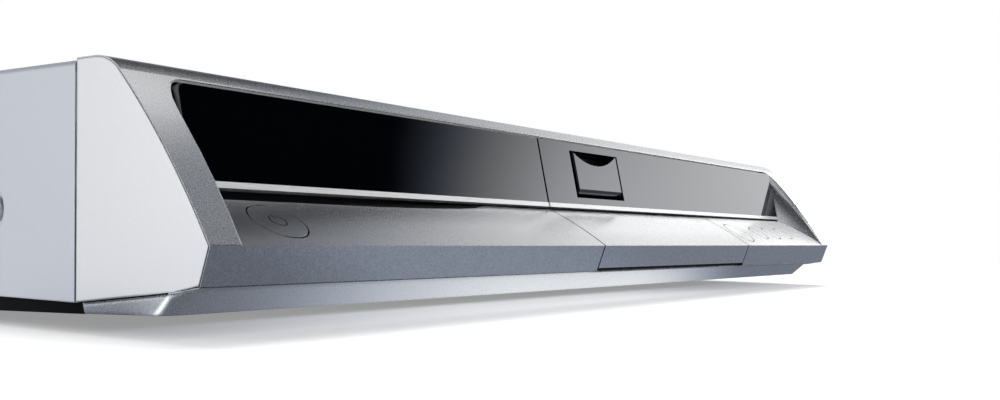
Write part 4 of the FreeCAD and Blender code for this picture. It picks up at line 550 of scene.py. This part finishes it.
# flat cables with a darker line between each two wires: painted shade in the grooves between them
cableLook = {"colour": (0.58, 0.58, 0.60), "rough": 0.45, "grain": 0.0006, "depth": 0.000006, "edge": 0.0001,
             "wire": 0.00127, "groove": 0.00018, "line": {"baseColor": (0.32, 0.32, 0.34)}}
cableFinish = mouldedPlastic("cableGrey", cableLook)
cableFinish.over(abs(cableFinish.x.wrap(cableLook["wire"])) < cableLook["groove"], **cableLook["line"])
dress(cableFinish, "flat_cables")
print("inner parts dressed")

# rear sockets: plated shells round black tongues that carry gilt contacts
tongueLook = {"black": {"baseColor": (0.015, 0.015, 0.016), "metallic": 0.0, "roughness": 0.5},
              "gilt": {"baseColor": (0.85, 0.62, 0.28), "metallic": 1.0, "roughness": 0.25},
              "pitch": 0.0019, "contact": 0.0004, "tip": 0.1615,
              "tongues": ({"x": (-148, -106), "z": (4.2, 8.8)}, {"x": (-148, -106), "z": (23.2, 27.8)},
                          {"x": (70.2, 81.8), "z": (-2.9, -1.1)})}
socketFinish = brushedMetal("socketPlated", platedLook)
tongueMask = anyOf(socketFinish.inside(**tongue) for tongue in tongueLook["tongues"])
contacts = tongueMask * (abs(socketFinish.x.wrap(tongueLook["pitch"])) < tongueLook["contact"])
socketFinish.over(tongueMask, **tongueLook["black"])
socketFinish.over(contacts * (socketFinish.y < tongueLook["tip"]), **tongueLook["gilt"])
dress(socketFinish, "rear_sockets")

# mains socket: black body with two plated pins
inletLook = {"pins": ((-190.3, -6.5), (-181.7, -6.5)), "pin": 0.0013,
             "metal": {"baseColor": (0.66, 0.66, 0.68), "metallic": 1.0, "roughness": 0.3}}
inletFinish = mouldedPlastic("inletBlack", socketLook)
pinMasks = [inletFinish.near(metres((x, 0.0, z)), "xz") < inletLook["pin"] for x, z in inletLook["pins"]]
inletFinish.over(anyOf(pinMasks), **inletLook["metal"])
dress(inletFinish, "mains_inlet")

# round sockets: black block, plated barrels, and a coloured disc in the mouth of each; the colours show from
# the plane "from" outwards, and the rings stand on the plane "face"
jackLook = {"colours": {"red": (0.55, 0.02, 0.02), "white": (0.75, 0.75, 0.74), "yellow": (0.80, 0.52, 0.02),
                        "green": (0.02, 0.30, 0.06), "blue": (0.02, 0.06, 0.42), "black": (0.02, 0.02, 0.022)},
            "barrel": 0.00435, "metal": {"baseColor": (0.70, 0.70, 0.71), "metallic": 1.0, "roughness": 0.25},
            "disc": 0.0033, "insert": {"metallic": 0.0, "roughness": 0.4},
            "ring": ((4.32, 0.0), (6.3, 0.0), (6.3, 0.9), (6.0, 1.2), (4.62, 1.2), (4.32, 0.9)), "steps": 40}
ringLook = {"rough": 0.42, "grain": 0.0004, "depth": 0.000008, "edge": 0.0002}
rearJacks = {"x": -38.0, "pitch": 16.0, "z": (2.0, 18.0), "from": 312.2, "face": 322.52, "out": 1.0,
             "rows": (("yellow", "white", "red", "green", "blue", "red"),
                      ("yellow", "white", "red", "white", "red", "black"))}
frontJacks = {"x": -8.01, "pitch": 18.0, "z": (-1.6,), "from": 30.5, "face": 19.98, "out": -1.0,
              "rows": (("yellow", "white", "red"),)}


def jackPlaces(look):
    for z, row in zip(look["z"], look["rows"]):
        for column, colour in enumerate(row):
            yield look["x"] + look["pitch"] * column, z, colour


def jackFinish(name, look):
    finish = mouldedPlastic(name, socketLook)
    start = coordinate("y", look["from"])
    outside = finish.y > start if look["out"] > 0 else finish.y < start
    mouths = [(finish.near(metres((x, 0.0, z)), "xz"), colour) for x, z, colour in jackPlaces(look)]
    barrels = anyOf([away < jackLook["barrel"] for away, colour in mouths])
    finish.over(barrels * outside, **jackLook["metal"])
    for away, colour in mouths:
        insert = dict(jackLook["insert"], baseColor=jackLook["colours"][colour])
        finish.over((away < jackLook["disc"]) * outside, **insert)
    return finish


dress(jackFinish("rearJackBlack", rearJacks), "rear_jacks")
dress(jackFinish("frontJackBlack", frontJacks), "front_jacks")


def newObject(name, data):
    made = bpy.data.objects.new(name, data)
    bpy.context.scene.collection.objects.link(made)
    return made


# corner numbers of the quads of a grid of rows by columns points: each point with the next one in its row
# and the two after them in the next row
def gridFaces(rows, columns):
    first = (np.arange(rows - 1)[:, None] * columns + np.arange(columns - 1)).ravel()
    return np.stack([first, first + 1, first + columns + 1, first + columns], 1)


# one mesh from grids of points, each an array of rows by columns by 3 in metres
def surface(name, grids, closed=False):
    points = np.concatenate([grid.reshape(-1, 3) for grid in grids])
    starts = np.cumsum([0] + [grid.shape[0] * grid.shape[1] for grid in grids[:-1]])
    faces = []
    for grid, start in zip(grids, starts):
        rows, columns = grid.shape[:2]
        quads = gridFaces(rows + closed, columns + closed)
        if closed:  # the last row and column join the first again
            row, column = np.divmod(quads, columns + 1)
            quads = row % rows * columns + column % columns
        faces.append(quads + start)
    mesh = bpy.data.meshes.new(name)
    mesh.from_pydata(points.tolist(), [], np.concatenate(faces).tolist())
    mesh.update()
    return newObject(name, mesh)


# closed profile of radius and height turned once round an axis along y: a point at angle a stands at
# x + r cos a, y + out h, z + r sin a
def turnedRing(x, y, z, out, profile, steps):
    radius, height = np.asarray(profile, float).T
    angle = np.linspace(0.0, 2.0 * np.pi, steps, endpoint=False)[:, None]
    grid = np.stack([x + radius * np.cos(angle), y + out * height + 0.0 * angle, z + radius * np.sin(angle)], 2)
    return metres(grid if out > 0 else grid[::-1])


# a coloured plastic ring stands on the plate round each round socket
def makeJackRings(side, look):
    byColour = {}
    for x, z, colour in jackPlaces(look):
        ring = turnedRing(x, look["face"], z, look["out"], jackLook["ring"], jackLook["steps"])
        byColour.setdefault(colour, []).append(ring)
    for colour, rings in byColour.items():
        made = surface(side + "_ring_" + colour, rings, True)
        paint = dict(ringLook, colour=jackLook["colours"][colour])
        made.data.materials.append(mouldedPlastic(side + "Ring" + colour.capitalize(), paint).material)
        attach(made, "chassis")


makeJackRings("rear", rearJacks)
makeJackRings("front", frontJacks)
print("sockets dressed")

white = (1.0, 1.0, 1.0)

# pale floor: its far part glows white to the eye, and what it adds to reflections grows from the dim
# strip right before the object to the open floor, with a bright spot before the left corner of the skirt
floorLook = {"half": 9.0, "steps": 24, "colour": (0.80, 0.80, 0.80), "rough": 0.9, "own": 0.3, "soft": 0.2,
             "near": 0.55, "far": 1.3, "front": (-0.168, -0.150), "left": (0.225, 0.26), "dim": 0.16,
             "rise": (-0.19, -0.11), "riseBy": 0.16, "fall": (-0.03, 0.08), "fallBy": 0.07,
             "under": (-0.12, -0.05), "underRise": (-0.225, -0.05), "underFall": (0.02, 0.15),
             "spot": (-0.2262, -0.1366, 0.0), "spotReach": (0.003, 0.014), "spotGlow": 2.0,
             "shadeTint": (0.72, 0.81, 1.0), "openTint": (0.95, 0.975, 1.0)}


# flat square of equal quads at height zero
def makeFloor():
    line = np.linspace(-floorLook["half"], floorLook["half"], floorLook["steps"])
    x, y = np.meshgrid(line, line)
    floor = surface("floor", [np.stack([x, y, np.zeros_like(x)], 2)])
    finish = Finish("floorPale")
    finish.set(baseColor=floorLook["colour"], roughness=floorLook["rough"])

    def step(signal, name):
        return finish.ramp(signal, *floorLook[name])

    def glow(colour, strength):
        return finish.node("Emission", None, {"Color": colour, "Strength": strength})

    direct, mirrored = finish.rays()
    away = finish.ramp(finish.near((0, 0, 0), "xy"), floorLook["near"], floorLook["far"])
    own = glow(white, direct * floorLook["own"])
    far = glow(white, floorLook["soft"] + direct * (1.0 - floorLook["soft"]))
    lit = finish.node("AddShader", None, {0: Signal(finish, finish.shader.outputs[0]), 1: own})
    plain = finish.node("MixShader", None, {0: away, 1: lit, 2: far})
    profile = step(finish.x, "underRise") * (1.0 - step(finish.x, "underFall"))
    bright = step(finish.y, "front") * profile.most(step(finish.y, "under"))
    bright = bright.most(step(-finish.x, "left"))
    dim = floorLook["dim"] + step(finish.x, "rise") * floorLook["riseBy"]
    dim = dim - step(finish.x, "fall") * floorLook["fallBy"]
    spot = 1.0 - finish.ramp(finish.near(floorLook["spot"], "xy"), *floorLook["spotReach"])
    strength = (dim + bright * (1.0 - dim)).most(spot * floorLook["spotGlow"])
    tint = finish.blend(bright.most(spot), floorLook["shadeTint"], floorLook["openTint"])
    mixed = finish.node("MixShader", None, {0: mirrored, 1: plain, 2: glow(tint, strength)})
    finish.feed(finish.tree.nodes["Material Output"].inputs[0], mixed)
    floor.data.materials.append(finish.material)


# what metal and gloss see of the room, by direction: soft panels at the right, left, back and top, a softer
# one for the deck, that one again for the deck's second reflection in the windows, and a dim one for the
# left pillar of the frame
roomLook = {"right": (0.76, 0.88), "rightGlow": 1.9, "sink": (0.2, 0.42), "sinkBy": 0.48,
            "deck": (0.68, 0.90), "deckGlow": 0.98, "deckBack": (0.02, 0.14), "deckUp": (0.10, 0.20),
            "echo": 1.6, "echoBack": (-0.20, -0.13), "echoEnd": (-0.07, -0.03), "echoUp": (0.30, 0.36),
            "echoTop": (0.66, 0.72), "echoRight": (0.70, 0.90), "echoRightBy": 3.0,
            "left": (0.35, 0.8), "leftGlow": 1.9, "behind": (-0.4, 0.1), "back": (0.5, 0.9), "backGlow": 0.9,
            "level": (0.25, 0.6), "topWay": (0.25, 0.0, 0.968), "top": (0.87, 0.90), "topGlow": 1.2,
            "topFront": (-0.16, 0.04), "topBack": (0.11, 0.22), "pillar": (0.5, 0.56), "pillarGlow": 0.27,
            "pillarEnd": (0.66, 0.69), "pillarUp": (0.5, 0.6), "pillarFront": (0.0, 0.08),
            "rest": (0.2, 0.42), "restGlow": 0.5, "restLeft": (0.2, 0.45), "restFront": (-0.1, 0.2),
            "dark": 0.002, "fill": 0.4, "tint": (0.72, 0.81, 1.0), "untinted": (0.05, 0.7)}


def makeRoom():
    world = bpy.data.worlds.new("room")
    bpy.context.scene.world = world
    finish = Finish("room", world)

    def step(signal, name, kind="SMOOTHSTEP"):
        return finish.ramp(signal, *roomLook[name], kind)

    deckShare = step(finish.y, "deckBack") * step(finish.z, "deckUp")
    echoShare = step(finish.y, "echoBack") * (1.0 - step(finish.y, "echoEnd"))
    echoShare = echoShare * step(finish.z, "echoUp") * (1.0 - step(finish.z, "echoTop"))
    sink = 1.0 - step(finish.z, "sink") * roomLook["sinkBy"]
    right = step(finish.x, "right") * sink * (1.0 - deckShare) * (1.0 - echoShare) * roomLook["rightGlow"]
    echo = roomLook["echo"] + step(finish.x, "echoRight") * roomLook["echoRightBy"]
    deck = step(finish.x, "deck", "LINEAR") * roomLook["deckGlow"] * (deckShare + echoShare * echo)
    level = 1.0 - step(finish.z, "level")
    left = step(-finish.x, "left") * level * step(finish.y, "behind") * roomLook["leftGlow"]
    back = step(finish.y, "back") * level * roomLook["backGlow"]
    over = sum(signal * part for signal, part in zip((finish.x, finish.y, finish.z), roomLook["topWay"]))
    top = step(over, "top") * step(finish.y, "topFront") * (1.0 - step(finish.y, "topBack")) * roomLook["topGlow"]
    pillar = step(finish.x, "pillar") * (1.0 - step(finish.x, "pillarEnd")) * roomLook["pillarGlow"]
    pillar = pillar * step(finish.z, "pillarUp") * step(-finish.y, "pillarFront")
    rest = (1.0 - step(finish.x, "rest")) * roomLook["restGlow"]
    rest = rest * (1.0 - step(-finish.x, "restLeft") * (1.0 - step(finish.y, "restFront")))
    around = anyOf([right + deck, left, back, top, pillar, rest]).most(roomLook["dark"])
    plain, mirrored = finish.rays()
    strength = plain + (1.0 - plain) * (mirrored * around + (1.0 - mirrored) * roomLook["fill"])
    dimness = (1.0 - plain) * mirrored * (1.0 - step(around, "untinted"))
    ground = world.node_tree.nodes["Background"]
    finish.feed(ground.inputs["Color"], finish.blend(dimness, white, roomLook["tint"]))
    finish.feed(ground.inputs["Strength"], strength)


# puts an object at a place, with its own x, y and z along three directions
def stand(made, place, side, up, back):
    turn = Matrix(np.stack([side, up, back], 1).tolist()).to_4x4()
    made.matrix_world = Matrix.Translation(place) @ turn


lampLooks = {
    "topLamp": {"at": (0.15, 0.1, 1.3), "to": (0.1, 0.05, 0.03), "size": (1.3, 0.8), "power": 14.0},
    "frontLamp": {"at": (-0.2, -1.5, 0.7), "to": (0.0, 0.0, 0.03), "size": (1.2, 0.8), "power": 12.0},
    "leftLamp": {"at": (-1.5, 0.7, 0.6), "to": (0.0, 0.0, 0.03), "size": (1.0, 0.8), "power": 5.0},
}


# soft lamps turned towards the object; metal sees the panels of the room in their place
def makeLamps():
    for name, look in lampLooks.items():
        light = bpy.data.lights.new(name, "AREA")
        light.shape = "RECTANGLE"
        light.size, light.size_y = look["size"]
        light.energy = look["power"]
        lamp = newObject(name, light)
        lamp.visible_glossy = False
        back = np.subtract(look["at"], look["to"])
        back /= np.linalg.norm(back)
        side = np.cross((0.0, 0.0, 1.0), back)
        side /= np.linalg.norm(side)
        stand(lamp, look["at"], side, np.cross(back, side), back)


# the camera that the outline of the front was fitted to: lengths in pixels and millimetres, angles in radians
eye = {"focal": 1055.14, "middle": (487.03, 264.94), "size": (1000.0, 400.0), "at": (-365.615, -176.611, 3.768),
       "yaw": 0.963615, "pitch": -0.030491, "roll": 0.016628, "sensor": 36.0, "nearest": 10.0}


def makeCamera():
    wide, high = eye["size"]
    data = bpy.data.cameras.new("eye")
    data.sensor_width = eye["sensor"]
    data.lens = eye["focal"] / wide * eye["sensor"]
    data.shift_x = 0.5 - eye["middle"][0] / wide
    data.shift_y = (eye["middle"][1] - high / 2) / wide
    data.clip_start = eye["nearest"] / 1000.0
    yaw, pitch, roll = eye["yaw"], eye["pitch"], eye["roll"]
    ahead = np.array([math.sin(yaw) * math.cos(pitch), math.cos(yaw) * math.cos(pitch), math.sin(pitch)])
    right = np.array([math.cos(yaw), -math.sin(yaw), 0.0])
    up = np.cross(right, ahead)
    side = math.cos(roll) * right + math.sin(roll) * up
    over = -math.sin(roll) * right + math.cos(roll) * up
    camera = newObject("eye", data)
    stand(camera, metres(eye["at"]).tolist(), side, over, -ahead)
    bpy.context.scene.camera = camera


makeFloor()
makeRoom()
makeLamps()
makeCamera()
bpy.context.scene.view_settings.view_transform = "Standard"
print("floor, lamps and camera placed")
